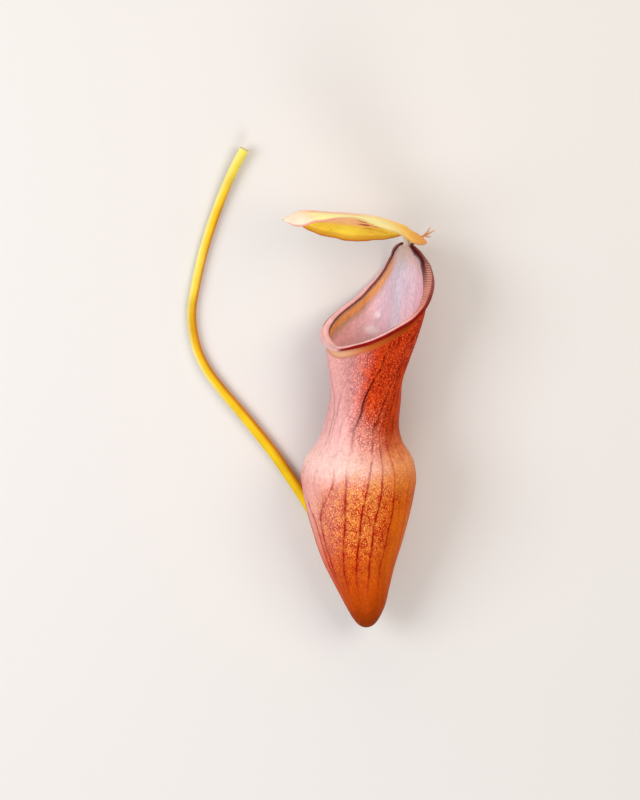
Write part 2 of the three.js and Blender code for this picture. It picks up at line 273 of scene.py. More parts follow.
# Veins: the line that each follows at six shares of the way up, its rise and half width in
# millimetres, and how darkly it shows on the cone and on the neck. The first is the stout rib.
# Each stands on both sides of the front.
VEIN_SHARES = (0.21, 0.40, 0.51, 0.61, 0.85, 1.0)
VEINS = [
    ((23, 38, 42, 41, 31, 38), 0.60, 0.85, 1.1, 1.2),
    ((45, 56, 65, 72, 68, 62), 0.25, 0.55, 1.3, 0.8),
    ((66, 73, 79, 84, 82, 80), 0.25, 0.50, 1.3, 0.4),
    ((87, 92, 94, 95, 94, 94), 0.25, 0.55, 1.1, 0.5),
    ((126, 119, 114, 110, 108, 108), 0.22, 0.50, 0.5, 0.6),
    ((3, 6, 27, 19, 18, 22), 0.20, 0.50, 1.0, 0.5),
    ((-4, 0, 4, 3, 8, 16), 0.12, 0.50, 0.0, 0.65),
    ((139, 141, 143, 143, 141, 141), 0.22, 0.50, 0.5, 0.4),
    ((156, 158, 159, 159, 158, 158), 0.22, 0.50, 0.5, 0.4),
    ((175, 175, 176, 176, 176, 176), 0.22, 0.50, 0.5, 0.4),
]
VEIN_WANDER = 0.7  # degrees
VEIN_INK_HALF = 0.46  # half widths in millimetres of a vein's dark line and of its blush
VEIN_BLUSH_HALF = 1.7


def vein_fields(line, share, mm_per_degree):
    """How high the veins raise the skin, how darkly they show on the cone and on the neck, and
    the red blush beside them on the cone. Each vein is a bell curve of the distance from a line
    that wanders by two slow sines."""
    rise, cone_ink, neck_ink, blush = np.zeros((4, *line.shape))
    swell = ease(share, 0.10, 0.28) * (1 - ease(share, 0.76, 0.95))
    for k, (lines_at, height, half, on_cone, on_neck) in enumerate(VEINS):
        for side in (1, -1):
            own = side * through(list(zip(VEIN_SHARES, lines_at)))(share)
            own = own + VEIN_WANDER * (
                np.sin(31 * share + 2.1 * k + side) + 0.6 * np.sin(67 * share + 1.3 * k)
            )
            away = ((line - own + 180) % 360 - 180) * mm_per_degree
            ink = np.exp(-((away / VEIN_INK_HALF) ** 2))
            rise = np.maximum(rise, height * swell * np.exp(-((away / half) ** 2)))
            cone_ink = np.maximum(cone_ink, on_cone * ink)
            neck_ink = np.maximum(neck_ink, on_neck * ink)
            blush = np.maximum(blush, on_cone * np.exp(-((away / VEIN_BLUSH_HALF) ** 2)))
    return rise, cone_ink, neck_ink, blush


def ring_faces(rings, columns):
    """Quads that join rings of points, each ring closed on itself."""
    row, col = np.meshgrid(np.arange(rings - 1), np.arange(columns), indexing="ij")
    here, beside = row * columns + col, row * columns + (col + 1) % columns
    return np.stack([here, beside, beside + columns, here + columns], axis=-1).reshape(-1, 4)


def fan_faces(ring_start, columns, pole, flip):
    """Triangles that close a ring to one point."""
    col = np.arange(columns)
    here, beside = ring_start + col, ring_start + (col + 1) % columns
    middle = np.full(columns, pole)
    return np.stack([beside, here, middle] if not flip else [here, beside, middle], axis=-1)


def make_piece(name, points, face_sets, materials, fields=None, material_of=None):
    """A mesh object from points in metres. Face sets are whole arrays, fields become attributes
    on the points, and material_of gives each face its material's number."""
    mesh = bpy.data.meshes.new(name)
    counts = np.concatenate([np.full(len(faces), faces.shape[1]) for faces in face_sets])
    corners = np.concatenate([faces.ravel() for faces in face_sets])
    mesh.vertices.add(len(points))
    mesh.vertices.foreach_set("co", np.asarray(points, np.float32).ravel())
    mesh.loops.add(len(corners))
    mesh.loops.foreach_set("vertex_index", corners.astype(np.int32))
    mesh.polygons.add(len(counts))
    mesh.polygons.foreach_set("loop_start", (np.cumsum(counts) - counts).astype(np.int32))
    mesh.update(calc_edges=True)
    mesh.validate()
    mesh.shade_smooth()
    for material in materials:
        mesh.materials.append(material)
    if material_of is not None:
        mesh.polygons.foreach_set("material_index", material_of.astype(np.int32))
    for key, values in (fields or {}).items():
        kind = "FLOAT_VECTOR" if values.ndim > 1 else "FLOAT"
        layer = mesh.attributes.new(key, kind, "POINT")
        member = "vector" if values.ndim > 1 else "value"
        layer.data.foreach_set(member, values.astype(np.float32).ravel())
    piece = bpy.data.objects.new(name, mesh)
    bpy.context.collection.objects.link(piece)
    return piece


lines = np.linspace(-180, 180, CUP_COLUMNS, endpoint=False)
outer_shares = FIRST_RING + (1 - FIRST_RING) * np.linspace(0, 1, OUTSIDE_ROWS)
inner_shares = 1 - INNER_REACH * np.linspace(0, 1, INSIDE_ROWS)

outer_share, outer_line = np.meshgrid(outer_shares, lines, indexing="ij")
inner_share, inner_line = np.meshgrid(inner_shares, lines, indexing="ij")
one_degree_round = (
    wall_point(outer_line + LINE_STEP, outer_share)
    - wall_point(outer_line - LINE_STEP, outer_share)
)
vein_rise, cone_ink, neck_ink, vein_blush = vein_fields(
    outer_line, outer_share, np.linalg.norm(one_degree_round, axis=-1)
)

outer = wall_point(outer_line, outer_share, vein_rise)
inner = wall_point(inner_line, inner_share) - WALL * wall_normal(inner_line, inner_share)

cup_rings = np.concatenate([outer, inner])
tip_pole = outer[0].mean(axis=0) - np.array([0, 0, TIP_ROUND])
floor_pole = inner[-1].mean(axis=0)
cup_points = settled(np.concatenate([cup_rings.reshape(-1, 3), [tip_pole, floor_pole]]))
cup_ring_count = OUTSIDE_ROWS + INSIDE_ROWS
last_ring = (cup_ring_count - 1) * CUP_COLUMNS
cup_faces = [
    ring_faces(cup_ring_count, CUP_COLUMNS),
    fan_faces(0, CUP_COLUMNS, len(cup_points) - 2, False),
    fan_faces(last_ring, CUP_COLUMNS, len(cup_points) - 1, True),
]

# Where the skin's pigments lie, each a field from 0 to 1 over the lines and heights of the cup.
# Angles are in degrees, and heights and distances in millimetres. The edges of the pale front
# panel and of the net are lines that shift with the height.
PANEL_EDGE = [
    (0, -28), (20, -8), (40, 12), (59, 23), (71, 40), (79, 67), (94, 60), (100, 42), (107, 30),
    (114, 24), (122, 18), (180, 18),
]
PANEL_SOFT = [
    (0, 14), (40, 38), (59, 37), (71, 36), (79, 42), (94, 34), (102, 18), (107, 13), (122, 10),
    (180, 9),
]
PANEL_BACK = [(0, -60), (59, -78), (79, -95), (94, -78), (107, -62), (180, -58)]
NET_EDGE = [
    (0, -30), (30, -12), (40, -2), (59, 4), (66, 11), (72, 27), (76, 42), (80, 56), (86, 48),
    (94, 34), (100, 22), (107, 13), (114, 9), (122, 6), (180, 5),
]
NET_BACK = [(0, -70), (59, -80), (79, -105), (94, -82), (107, -66), (180, -62)]
NET_STRENGTH = [
    (0, 0.0), (10, 0.1), (24, 0.34), (38, 0.85), (46, 1.0), (68, 1.0), (75, 0.75), (80, 0.5),
    (88, 0.85), (94, 1.0), (180, 1.0),
]
BACK_SOFT = 14  # how far the panel's back edge and the net's edges fade, in degrees
NET_SOFT = 12
NECK_RUN = 45.0  # the neck's mean length, over which its pattern runs
INNER_GIRTH = 15.0  # the mean radius that the inner pattern lies on
LAID_WIDE = 0.4  # millimetres to a degree where the inner wall is laid flat
BAND_TOP = 180.0  # the height at the top of the colour bands

height = outer[..., 2]
neck = ease(height, 84, 97)
outer_angle, outer_up = swung(outer_line, outer_share)
under_rim = (1 - outer_up) * (mouth_height(np.abs(outer_angle)) - NECK_BASE)

# The collar under the rim, broader in front, and its darker edge.
collar_wide = 2.4 + 1.6 * (1 - ease(np.abs(outer_angle - 40), 60, 120))
collar = 1 - ease(under_rim, collar_wide - 0.6, collar_wide + 0.6)
collar_edge = 0.6 * np.exp(-(((under_rim - collar_wide) / 0.45) ** 2))
collar_pale = (1 - ease(outer_angle, 12, 62)) * ease(outer_angle, -90, -45)
collar_dark = ease(np.abs(outer_angle), 60, 112)

# The pale front panel between its two soft edges, and the net outside it. The panel's paleness is
# partly the skin's own pale pink and partly a painted sheen of soft light.
edge, soft = through(PANEL_EDGE)(height), through(PANEL_SOFT)(height)
panel_back = through(PANEL_BACK)(height)
front_panel = (1 - ease(outer_line, edge - soft, edge + soft)) * ease(
    outer_line, panel_back - BACK_SOFT, panel_back + BACK_SOFT
)
net_edge, net_back = through(NET_EDGE)(height), through(NET_BACK)(height)
out_of_panel = np.maximum(
    ease(outer_line, net_edge - NET_SOFT, net_edge + NET_SOFT),
    1 - ease(outer_line, net_back - NET_SOFT, net_back + NET_SOFT),
)
flank = ease(np.abs(outer_line), 62, 100)
netted = (0.16 + 0.84 * out_of_panel) * through(NET_STRENGTH)(height)
at_hip = ease(height, 52, 66) * (1 - ease(height, 90, 98))
smoother = ease(np.abs(outer_line), 84, 106) * (1 - 0.5 * neck) * (1 - 0.7 * at_hip)
netted = netted * (1 - 0.6 * smoother)
low_net = (1 - ease(np.abs(outer_line), 46, 78)) * ease(height, 8, 24) * (1 - ease(height, 36, 48))
netted = np.minimum(1, netted + 0.55 * low_net * (0.3 + 0.7 * out_of_panel))
netted = netted * (1 - collar)

# The veins' ink on the cone and the neck, and a thinner trace of it across the hip.
vein_ink = cone_ink * ease(height, 12, 34) * (1 - ease(height, 66, 84)) + neck_ink * neck * (
    1 - ease(height, 128, 140)
)
on_hip = 0.12 + 0.36 * ease(np.abs(outer_line), 45, 70)
vein_ink = np.maximum(vein_ink, on_hip * np.maximum(cone_ink, neck_ink) * ease(height, 60, 72))
vein_ink = vein_ink * (1 - collar)
vein_blush = vein_blush * ease(height, 14, 30) * (1 - ease(height, 60, 74)) * (1 - 0.5 * flank)

# Two places for patterns to lie on, in metres: along the lines as they grew, and straight up.
run = np.where(outer_up > 0, NECK_BASE + NECK_RUN * outer_up, height)
girth = radius_by_root(np.sqrt(height))
grown, on_skin = (
    np.stack([girth * np.cos(turn), girth * np.sin(turn), along], -1) / 1000
    for turn, along in ((np.radians(outer_line), run), (np.radians(outer_angle), height))
)

# The inside: angles round from the front, 180 at the apex and 270 on the side that faces the mouth.
inner_angle, inner_up = swung(inner_line, inner_share)
inner_angle = inner_angle % 360
inner_below = (1 - inner_up) * (mouth_height(180 - np.abs(inner_angle - 180)) - NECK_BASE)
apex_band = np.exp(-(((inner_angle - 190) / 17) ** 2)) * (1 - ease(inner_below, 30, 60))
far_side = ease(inner_angle, 190, 214) * (1 - ease(inner_angle, 330, 352))
far_strip = far_side * ease(inner_below, 0.6, 1.8) * (1 - ease(inner_below, 2.6, 5.4))
far_tan = (0.35 + 0.6 * far_side) * (1 - ease(inner_below, 4.5, 9.5))
deep_rose = ease(inner_below, 14, 40)
front_rose = ease(inner_angle, 212, 240)
apex_grey = 0.7 * np.exp(-(((inner_angle - 181) / 15) ** 2)) * (1 - ease(inner_below, 5, 14))
right_rose = np.exp(-(((inner_angle - 152) / 7) ** 2)) * (1 - ease(inner_below, 25, 45))
rosy_front = ease(inner_angle, 238, 266) + (1 - ease(inner_angle, 30, 90))
inner_turn = np.radians(inner_line)
inner_grown = np.stack(
    [INNER_GIRTH * np.cos(inner_turn), INNER_GIRTH * np.sin(inner_turn), NECK_RUN * inner_up], -1
) / 1000
laid_flat = np.stack([LAID_WIDE * inner_angle, inner[..., 2], 0 * inner_angle], -1) / 1000


def both_walls(outside=None, inside=None):
    """One value for each point of the cup: the outer skin's, the inner skin's, the two poles'."""
    given = outside if outside is not None else inside
    if outside is None:
        outside = np.zeros((OUTSIDE_ROWS, CUP_COLUMNS) + given.shape[2:])
    if inside is None:
        inside = np.zeros((INSIDE_ROWS, CUP_COLUMNS) + given.shape[2:])
    parts = [wall.reshape(-1, *wall.shape[2:]) for wall in (outside, inside)]
    return np.concatenate(parts + [outside[0].mean(axis=0)[None], inside[-1].mean(axis=0)[None]])


outside_fields = {
    "height_share": height / BAND_TOP,
    "front_panel": front_panel,
    "netted": netted,
    "vein_ink": vein_ink,
    "vein_blush": vein_blush,
    "neck": neck,
    "flank": flank,
    "collar": collar,
    "collar_edge": collar_edge,
    "collar_pale": collar_pale,
    "collar_dark": collar_dark,
}
inside_fields = {
    "front_rose": front_rose,
    "deep_rose": deep_rose,
    "rosy_front": rosy_front,
    "apex_band": apex_band,
    "apex_grey": apex_grey,
    "right_rose": right_rose,
    "far_tan": far_tan,
    "far_strip": far_strip,
    "laid_flat": laid_flat,
}
cup_fields = {"grown": both_walls(grown, inner_grown), "on_skin": both_walls(on_skin)}
for key, field in outside_fields.items():
    cup_fields[key] = both_walls(field)
for key, field in inside_fields.items():
    cup_fields[key] = both_walls(inside=field)

# Outer skin: firm leaf tissue under a thin natural wax, so a broad soft gloss. Orange and red lie
# in bands up the cup, a pale pink bloom covers the front panel, and a net of dark red cells, just
# under 1 mm wide and longer along the cup, covers the rest. The bloom is partly the skin's own pale
# pink and partly a painted sheen of soft light.
NET_CELL = 0.00078  # metres
NET_LONGER = 0.62  # how much the pattern is squeezed along the cup, so cells stretch that way
SKIN_PATCHES = 360.0  # soft patches to a metre, so 2.8 mm each
SKIN_GRAIN = 1000.0  # to a metre, so 1 mm each
STREAK_WIDE = 0.0012  # the fine streaks along the cup, and how much they are drawn out
STREAK_LONGER = 0.07
# All the bands turn paler round the hip, near 79 mm: partly the skin's own tone and partly a painted
# highlight where the hip bulges towards the light.
CELL_BANDS = [
    (0, "#7A3006"), (8, "#A23A04"), (20, "#CC540A"), (34, "#E87820"), (46, "#FEA44C"),
    (62, "#FFAE56"), (71, "#FFB870"), (79, "#FCC2A2"), (86, "#F8AE90"), (94, "#F48E68"),
    (107, "#E85A24"), (150, "#DE4C1A"),
]
FLANK_BANDS = [
    (0, "#7A3006"), (8, "#9C3804"), (20, "#BE4C02"), (40, "#D66606"), (62, "#E0740A"),
    (71, "#F09434"), (79, "#F6A468"), (86, "#E67E44"), (94, "#C64A12"), (107, "#DE4C0A"),
    (150, "#DC4606"),
]
# The bloom's tones up the cup: the skin's own pale pink with a painted sheen of soft light over it.
BLOOM_AND_SHEEN_BANDS = [
    (16, "#C2502A"), (30, "#D66E54"), (42, "#E08E7C"), (59, "#E8A898"), (70, "#EAAA9E"),
    (79, "#F4CCC2"), (86, "#F0BEB6"), (94, "#EAB2AC"), (107, "#E2A6A1"), (150, "#E2A8A0"),
]
INK_BANDS = [
    (20, "#B03C0A"), (45, "#B02408"), (66, "#B42A0C"), (79, "#CC6A4C"), (88, "#B03C28"),
    (95, "#A0240C"), (150, "#961A08"),
]

# What the soft patches do: a range of their noise, and the values that it is turned into.
PATCH_USES = {
    "net_share": (0.38, 0.60, 0.62, 1.1),
    "band_shift": (0.3, 0.7, -0.012, 0.012),
    "bloom_and_sheen_ragged": (0.3, 0.7, -0.3, 0.3),
    "blush_share": (0.40, 0.62, 0.0, 0.5),
    "vein_share": (0.36, 0.56, 0.45, 1.0),
}


def washed(material, base, washes):
    """Lays washes of colour over a base one after the other, each as dense as its own field says
    at that place."""
    for field, tone in washes:
        here = add(material, "ShaderNodeAttribute", {}, attribute_name=field).outputs["Fac"]
        base = add(
            material, "ShaderNodeMix", {0: here, 6: base, 7: colour(tone)}, data_type="RGBA"
        ).outputs[2]
    return base


def shaded(material, base, noises):
    """Darkens and lightens a colour by noises. Each has the range of its values and the shares of
    the colour's brightness at the two ends of that range."""
    for noise, start, end, low, high in noises:
        share = add(
            material, "ShaderNodeMapRange",
            {"Value": noise, "From Min": start, "From Max": end, "To Min": low, "To Max": high},
        ).outputs["Result"]
        base = add(
            material, "ShaderNodeVectorMath", {0: base, "Scale": share}, operation="SCALE"
        ).outputs["Vector"]
    return base


cup_skin, cup_surface = blank_material("waxy_cup_skin")
skin_at = {
    name: add(cup_skin, "ShaderNodeAttribute", {}, attribute_name=name).outputs["Fac"]
    for name in outside_fields
}
cup_grown, on_skin_here = (
    add(cup_skin, "ShaderNodeAttribute", {}, attribute_name=name).outputs["Vector"]
    for name in ("grown", "on_skin")
)
stretched = add(
    cup_skin, "ShaderNodeMapping", {"Vector": on_skin_here, "Scale": (1, 1, NET_LONGER)}
).outputs["Vector"]
patches = add(
    cup_skin, "ShaderNodeTexNoise",
    {"Vector": stretched, "Scale": SKIN_PATCHES, "Detail": 4.0, "Roughness": 0.62},
).outputs["Fac"]
by_patch = {
    use: add(
        cup_skin, "ShaderNodeMapRange",
        {"Value": patches, "From Min": start, "From Max": end, "To Min": low, "To Max": high},
    ).outputs["Result"]
    for use, (start, end, low, high) in PATCH_USES.items()
}

# The net: the edges of cells whose places are bent by a noise a little wider than they are.
wobble = add(
    cup_skin, "ShaderNodeTexNoise", {"Vector": stretched, "Scale": 0.8 / NET_CELL, "Detail": 2.0}
).outputs["Color"]
wobble = add(
    cup_skin, "ShaderNodeVectorMath", {0: wobble, 1: (0.5, 0.5, 0.5)}, operation="SUBTRACT"
).outputs["Vector"]
wobble = add(
    cup_skin, "ShaderNodeVectorMath", {0: wobble, "Scale": 1.7 * NET_CELL}, operation="SCALE"
).outputs["Vector"]
bent = add(
    cup_skin, "ShaderNodeVectorMath", {0: stretched, 1: wobble}, operation="ADD"
).outputs["Vector"]
cells = add(
    cup_skin, "ShaderNodeTexVoronoi", {"Vector": bent, "Scale": 1 / NET_CELL},
    feature="DISTANCE_TO_EDGE",
).outputs["Distance"]
net = add(
    cup_skin, "ShaderNodeMapRange",
    {"Value": cells, "From Min": 0.07, "From Max": 0.27, "To Min": 1.0, "To Max": 0.0},
    interpolation_type="SMOOTHSTEP",
).outputs["Result"]
for share in (by_patch["net_share"], skin_at["netted"]):
    net = add(cup_skin, "ShaderNodeMath", {0: net, 1: share}, operation="MULTIPLY").outputs[0]

# The bands up the cup, with edges that the patches make ragged.
height_here = add(
    cup_skin, "ShaderNodeMath", {0: skin_at["height_share"], 1: by_patch["band_shift"]},
    operation="ADD",
).outputs[0]
bands = []
for stops in (CELL_BANDS, FLANK_BANDS, BLOOM_AND_SHEEN_BANDS, INK_BANDS):
    ramp = add(cup_skin, "ShaderNodeValToRGB", {"Fac": height_here})
    elements = ramp.color_ramp.elements
    for place, tone in stops[1:-1]:
        elements.new(place / BAND_TOP).color = colour(tone)
    for end, (place, tone) in ((0, stops[0]), (-1, stops[-1])):
        elements[end].position = place / BAND_TOP
        elements[end].color = colour(tone)
    bands.append(ramp.outputs["Color"])
cell_colour, flank_colour, bloom_and_sheen_colour, ink_colour = bands

# The bloom and its painted sheen are ragged only at their edge, where their field is near one half.
edge_only = add(
    cup_skin, "ShaderNodeMath", {0: 1.0, 1: skin_at["front_panel"]}, operation="SUBTRACT"
).outputs[0]
for factor in (skin_at["front_panel"], 4.0):
    edge_only = add(
        cup_skin, "ShaderNodeMath", {0: edge_only, 1: factor}, operation="MULTIPLY"
    ).outputs[0]
bloom_and_sheen_here = add(
    cup_skin, "ShaderNodeMath",
    {0: edge_only, 1: by_patch["bloom_and_sheen_ragged"], 2: skin_at["front_panel"]},
    operation="MULTIPLY_ADD",
).outputs[0]
bloom_and_sheen_ink = add(
    cup_skin, "ShaderNodeMix", {0: 0.66, 6: bloom_and_sheen_colour, 7: ink_colour}, data_type="RGBA"
).outputs[2]
ink_colour = add(
    cup_skin, "ShaderNodeMix", {0: bloom_and_sheen_here, 6: ink_colour, 7: bloom_and_sheen_ink}, data_type="RGBA"
).outputs[2]
blush_here = add(
    cup_skin, "ShaderNodeMath", {0: skin_at["vein_blush"], 1: by_patch["blush_share"]},
    operation="MULTIPLY",
).outputs[0]

# Flank, bloom with its painted sheen, net and the red blush beside the veins, each over what lies
# below it.
skin_colour = cell_colour
for share, tone in (
    (skin_at["flank"], flank_colour),
    (bloom_and_sheen_here, bloom_and_sheen_colour),
    (net, ink_colour),
    (blush_here, colour("#C2340C")),
):
    skin_colour = add(
        cup_skin, "ShaderNodeMix", {0: share, 6: skin_colour, 7: tone}, data_type="RGBA"
    ).outputs[2]

# Fine streaks run along the cup, a little darker and lighter than the skin, with a fine grain.
drawn_out = add(
    cup_skin, "ShaderNodeMapping", {"Vector": cup_grown, "Scale": (1, 1, STREAK_LONGER)}
).outputs["Vector"]
streaks = add(
    cup_skin, "ShaderNodeTexNoise",
    {"Vector": drawn_out, "Scale": 0.45 / STREAK_WIDE, "Detail": 3.0, "Roughness": 0.6},
).outputs["Fac"]
grain = add(
    cup_skin, "ShaderNodeTexNoise", {"Vector": stretched, "Scale": SKIN_GRAIN, "Detail": 2.0}
).outputs["Fac"]
skin_colour = shaded(
    cup_skin, skin_colour,
    [(streaks, 0.32, 0.68, 0.90, 1.07), (grain, 0.35, 0.65, 0.88, 1.10)],
)

# The veins: red on the cone, nearly black on the neck and rose where the bloom and its painted
# sheen lie thick. The patches break their lines.
vein_here = add(
    cup_skin, "ShaderNodeMath", {0: skin_at["vein_ink"], 1: by_patch["vein_share"]},
    operation="MULTIPLY",
).outputs[0]
deep_bloom_and_sheen = add(
    cup_skin, "ShaderNodeMapRange", {"Value": bloom_and_sheen_here, "From Min": 0.5, "From Max": 0.95}
).outputs["Result"]
deep_bloom_and_sheen = add(
    cup_skin, "ShaderNodeMath", {0: deep_bloom_and_sheen, 1: skin_at["neck"]}, operation="MULTIPLY"
).outputs[0]
vein_colour = washed(cup_skin, colour("#981406"), [("neck", "#480A08")])
vein_colour = add(
    cup_skin, "ShaderNodeMix", {0: deep_bloom_and_sheen, 6: vein_colour, 7: colour("#A06A70")},
    data_type="RGBA",
).outputs[2]

# The collar under the rim is tan, pale at the front and brown at the sides, with a darker edge.
collar_tone = washed(
    cup_skin, colour("#BC5E26"), [("collar_pale", "#DEAA82"), ("collar_dark", "#963808")]
)
for share, tone in ((vein_here, vein_colour), (skin_at["collar"], collar_tone)):
    skin_colour = add(
        cup_skin, "ShaderNodeMix", {0: share, 6: skin_colour, 7: tone}, data_type="RGBA"
    ).outputs[2]
skin_colour = washed(cup_skin, skin_colour, [("collar_edge", "#A84C1C")])

# The net is sunk a little, so that its cells stand proud, and the wax is duller where the bloom
# and its painted sheen lie thick.
net_sunk = add(
    cup_skin, "ShaderNodeBump", {"Height": net, "Strength": 0.4, "Distance": 0.00012}, invert=True
).outputs["Normal"]
streak_relief = add(
    cup_skin, "ShaderNodeBump",
    {"Height": streaks, "Normal": net_sunk, "Strength": 0.25, "Distance": 0.0003},
).outputs["Normal"]
cup_rough = add(
    cup_skin, "ShaderNodeMapRange", {"Value": bloom_and_sheen_here, "To Min": 0.36, "To Max": 0.46}
).outputs["Result"]
fill(cup_skin, cup_surface, {
    "Base Color": skin_colour, "Normal": streak_relief, "Roughness": cup_rough,
    "Specular IOR Level": 0.02,
})

# Inner skin: a pale bloom of wax over pink tissue, smooth and nearly matt, where insects slip.
INNER_WASHES = [
    # field, colour
    ("front_rose", "#F0C0C2"),
    ("deep_rose", "#ECB6B8"),
    ("rosy_front", "#FFC4C0"),
    ("apex_band", "#D9CCD8"),
    ("apex_grey", "#B9B2AA"),
    ("right_rose", "#E4B0BA"),
    ("far_tan", "#C89878"),
    ("far_strip", "#F2A050"),
]
INNER_STREAKS = 640.0  # to a metre, so 1.6 mm each
INNER_STREAKS_LONGER = 0.16
INNER_CLOUDS = 190.0  # 5.3 mm each
INNER_GRAIN = 1100.0  # 0.9 mm each

inner_skin, inner_surface = blank_material("waxed_inner_skin")
inner_place = add(inner_skin, "ShaderNodeAttribute", {}, attribute_name="grown").outputs["Vector"]
inner_drawn_out = add(
    inner_skin, "ShaderNodeMapping", {"Vector": inner_place, "Scale": (1, 1, INNER_STREAKS_LONGER)}
).outputs["Vector"]
inner_streaks = add(
    inner_skin, "ShaderNodeTexNoise",
    {"Vector": inner_drawn_out, "Scale": INNER_STREAKS, "Detail": 4.0, "Roughness": 0.6},
).outputs["Fac"]
inner_clouds = add(
    inner_skin, "ShaderNodeTexNoise", {"Vector": inner_place, "Scale": INNER_CLOUDS, "Detail": 3.0}
).outputs["Fac"]
inner_grain = add(
    inner_skin, "ShaderNodeTexNoise", {"Vector": inner_place, "Scale": INNER_GRAIN, "Detail": 2.0}
).outputs["Fac"]
inner_colour = washed(inner_skin, colour("#E0C2D0"), INNER_WASHES)

# Where the wax lies thick: pale patches, each by its angle and height, its half sizes in
# millimetres and how strongly it shows.
WAX_PATCHES = [((222.5, 139.0), (2.2, 1.8), 0.7), ((229.5, 132.4), (4.8, 2.3), 0.75)]
laid_here = add(inner_skin, "ShaderNodeAttribute", {}, attribute_name="laid_flat").outputs["Vector"]
for (angle, tall), (half_wide, half_tall), strength in WAX_PATCHES:
    middle = (LAID_WIDE * angle / 1000, tall / 1000, 0)
    from_middle = add(
        inner_skin, "ShaderNodeVectorMath", {0: laid_here, 1: middle}, operation="SUBTRACT"
    ).outputs["Vector"]
    in_sizes = add(
        inner_skin, "ShaderNodeVectorMath",
        {0: from_middle, 1: (half_wide / 1000, half_tall / 1000, 1)}, operation="DIVIDE",
    ).outputs["Vector"]
    away = add(
        inner_skin, "ShaderNodeVectorMath", {0: in_sizes}, operation="LENGTH"
    ).outputs["Value"]
    wax = add(
        inner_skin, "ShaderNodeMapRange",
        {"Value": away, "From Min": 0.3, "From Max": 1.2, "To Min": strength, "To Max": 0.0},
        interpolation_type="SMOOTHSTEP",
    ).outputs["Result"]
    inner_colour = add(
        inner_skin, "ShaderNodeMix", {0: wax, 6: inner_colour, 7: colour("#FFEDEC")},
        data_type="RGBA",
    ).outputs[2]
inner_colour = shaded(inner_skin, inner_colour, [
    (inner_streaks, 0.3, 0.7, 0.92, 1.06),
    (inner_clouds, 0.3, 0.7, 0.92, 1.06),
    (inner_grain, 0.3, 0.7, 0.85, 1.10),
])
fill(inner_skin, inner_surface, {
    "Base Color": inner_colour, "Roughness": 0.5, "Specular IOR Level": 0.12,
})

# The outer skin covers the outer rings and the tip, and the inner skin all the rest.
outer_faces = (OUTSIDE_ROWS - 1) * CUP_COLUMNS
cup_face_count = sum(len(faces) for faces in cup_faces)
cup_slots = np.ones(cup_face_count, int)
cup_slots[:outer_faces] = 0
cup_slots[-2 * CUP_COLUMNS : -CUP_COLUMNS] = 0

cup = make_piece(
    "pitcher_cup_skin", cup_points, cup_faces, [cup_skin, inner_skin], cup_fields, cup_slots
)
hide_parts("pitcher_cup")
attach(cup, "root")

# ---- The lid's stalk --------------------------------------------------------------------------
# A short pale stalk at the cup's apex. It grows out of the wall's top edge between the two ends
# of the rim and carries the lid at the foot of its midrib.

STALK = [
    (-22.4, 0, 171.0), (-21.9, 0, 172.8), (-21.6, 0, 174.6), (-21.1, 0, 177.2), (-20.4, 0, 180.2),
]
STALK_RADIUS = [(0, 0.4), (0.14, 1.4), (0.3, 1.8), (0.6, 1.45), (0.85, 1.2), (1, 1.45)]
STALK_WIDER = 1.25  # across the trap, as a share of its thickness
STALK_SIDES = 32
STALK_RINGS = 40


def path_through(knots):
    """A smooth curve through points, given by the share of its length. Between two points it is a
    cubic whose end directions weigh the steps on both sides by the root of their lengths."""
    knots = np.array(knots, float)
    ends = 2 * knots[[0, -1]] - knots[[1, -2]]
    p = np.concatenate([ends[:1], knots, ends[1:]])
    gap = np.sqrt(np.linalg.norm(np.diff(p, axis=0), axis=1))[:, None]
    before, here, after = gap[:-2], gap[1:-1], gap[2:]
    a, b, c, d = p[:-3], p[1:-2], p[2:-1], p[3:]
    leave = (b - a) / before - (c - a) / (before + here) + (c - b) / here
    arrive = (c - b) / here - (d - b) / (here + after) + (d - c) / after
    leave, arrive = leave * here, arrive * here
    t = np.linspace(0, 1, 41)[:-1, None, None]
    cubic = (
        b * (1 - 3 * t**2 + 2 * t**3) + c * (3 * t**2 - 2 * t**3)
        + leave * (t - 2 * t**2 + t**3) + arrive * (t**3 - t**2)
    )
    table_points = np.concatenate([cubic.transpose(1, 0, 2).reshape(-1, 3), knots[-1:]])
    steps = np.linalg.norm(np.diff(table_points, axis=0), axis=1)
    shares = np.concatenate([[0], np.cumsum(steps)]) / steps.sum()
    return lambda at: np.stack([np.interp(at, shares, table_points[:, k]) for k in range(3)], -1)


def unit(vectors):
    """The same directions with length one."""
    return vectors / np.linalg.norm(vectors, axis=-1, keepdims=True)


def tube(path, shares, radii, sides, upward, wider=1.0):
    """Rings of points round a path. Each ring is an oval square to the path, turned so that one
    axis is as close as it can be to the upward direction, and runs clockwise seen from behind."""
    centre = path(shares)
    ahead = path(np.minimum(shares + SHARE_STEP, 1))
    along = unit(ahead - path(np.maximum(shares - SHARE_STEP, 0)))
    across = unit(np.cross(along, upward))
    up = np.cross(across, along)
    turn = -2 * np.pi * (np.arange(sides) + 0.5) / sides
    radii = np.asarray(radii)[..., None, None]
    return (
        centre[:, None]
        + wider * radii * np.cos(turn)[None, :, None] * across[:, None]
        + radii * np.sin(turn)[None, :, None] * up[:, None]
    )


def closed_rings(rings):
    """Points and faces of a skin over rings, closed by a fan to the middle of each end ring."""
    count, sides = rings.shape[:2]
    points = np.concatenate([rings.reshape(-1, 3), [rings[0].mean(axis=0), rings[-1].mean(axis=0)]])
    faces = [
        ring_faces(count, sides),
        fan_faces(0, sides, len(points) - 2, False),
        fan_faces((count - 1) * sides, sides, len(points) - 1, True),
    ]
    return points, faces


def on_rings(patterns):
    """Patterns over rings as fields of the closed skin: each end's middle takes its ring's mean."""
    return {
        key: np.concatenate([
            field.reshape(-1, *field.shape[2:]), [field[0].mean(axis=0), field[-1].mean(axis=0)]
        ])
        for key, field in patterns.items()
    }


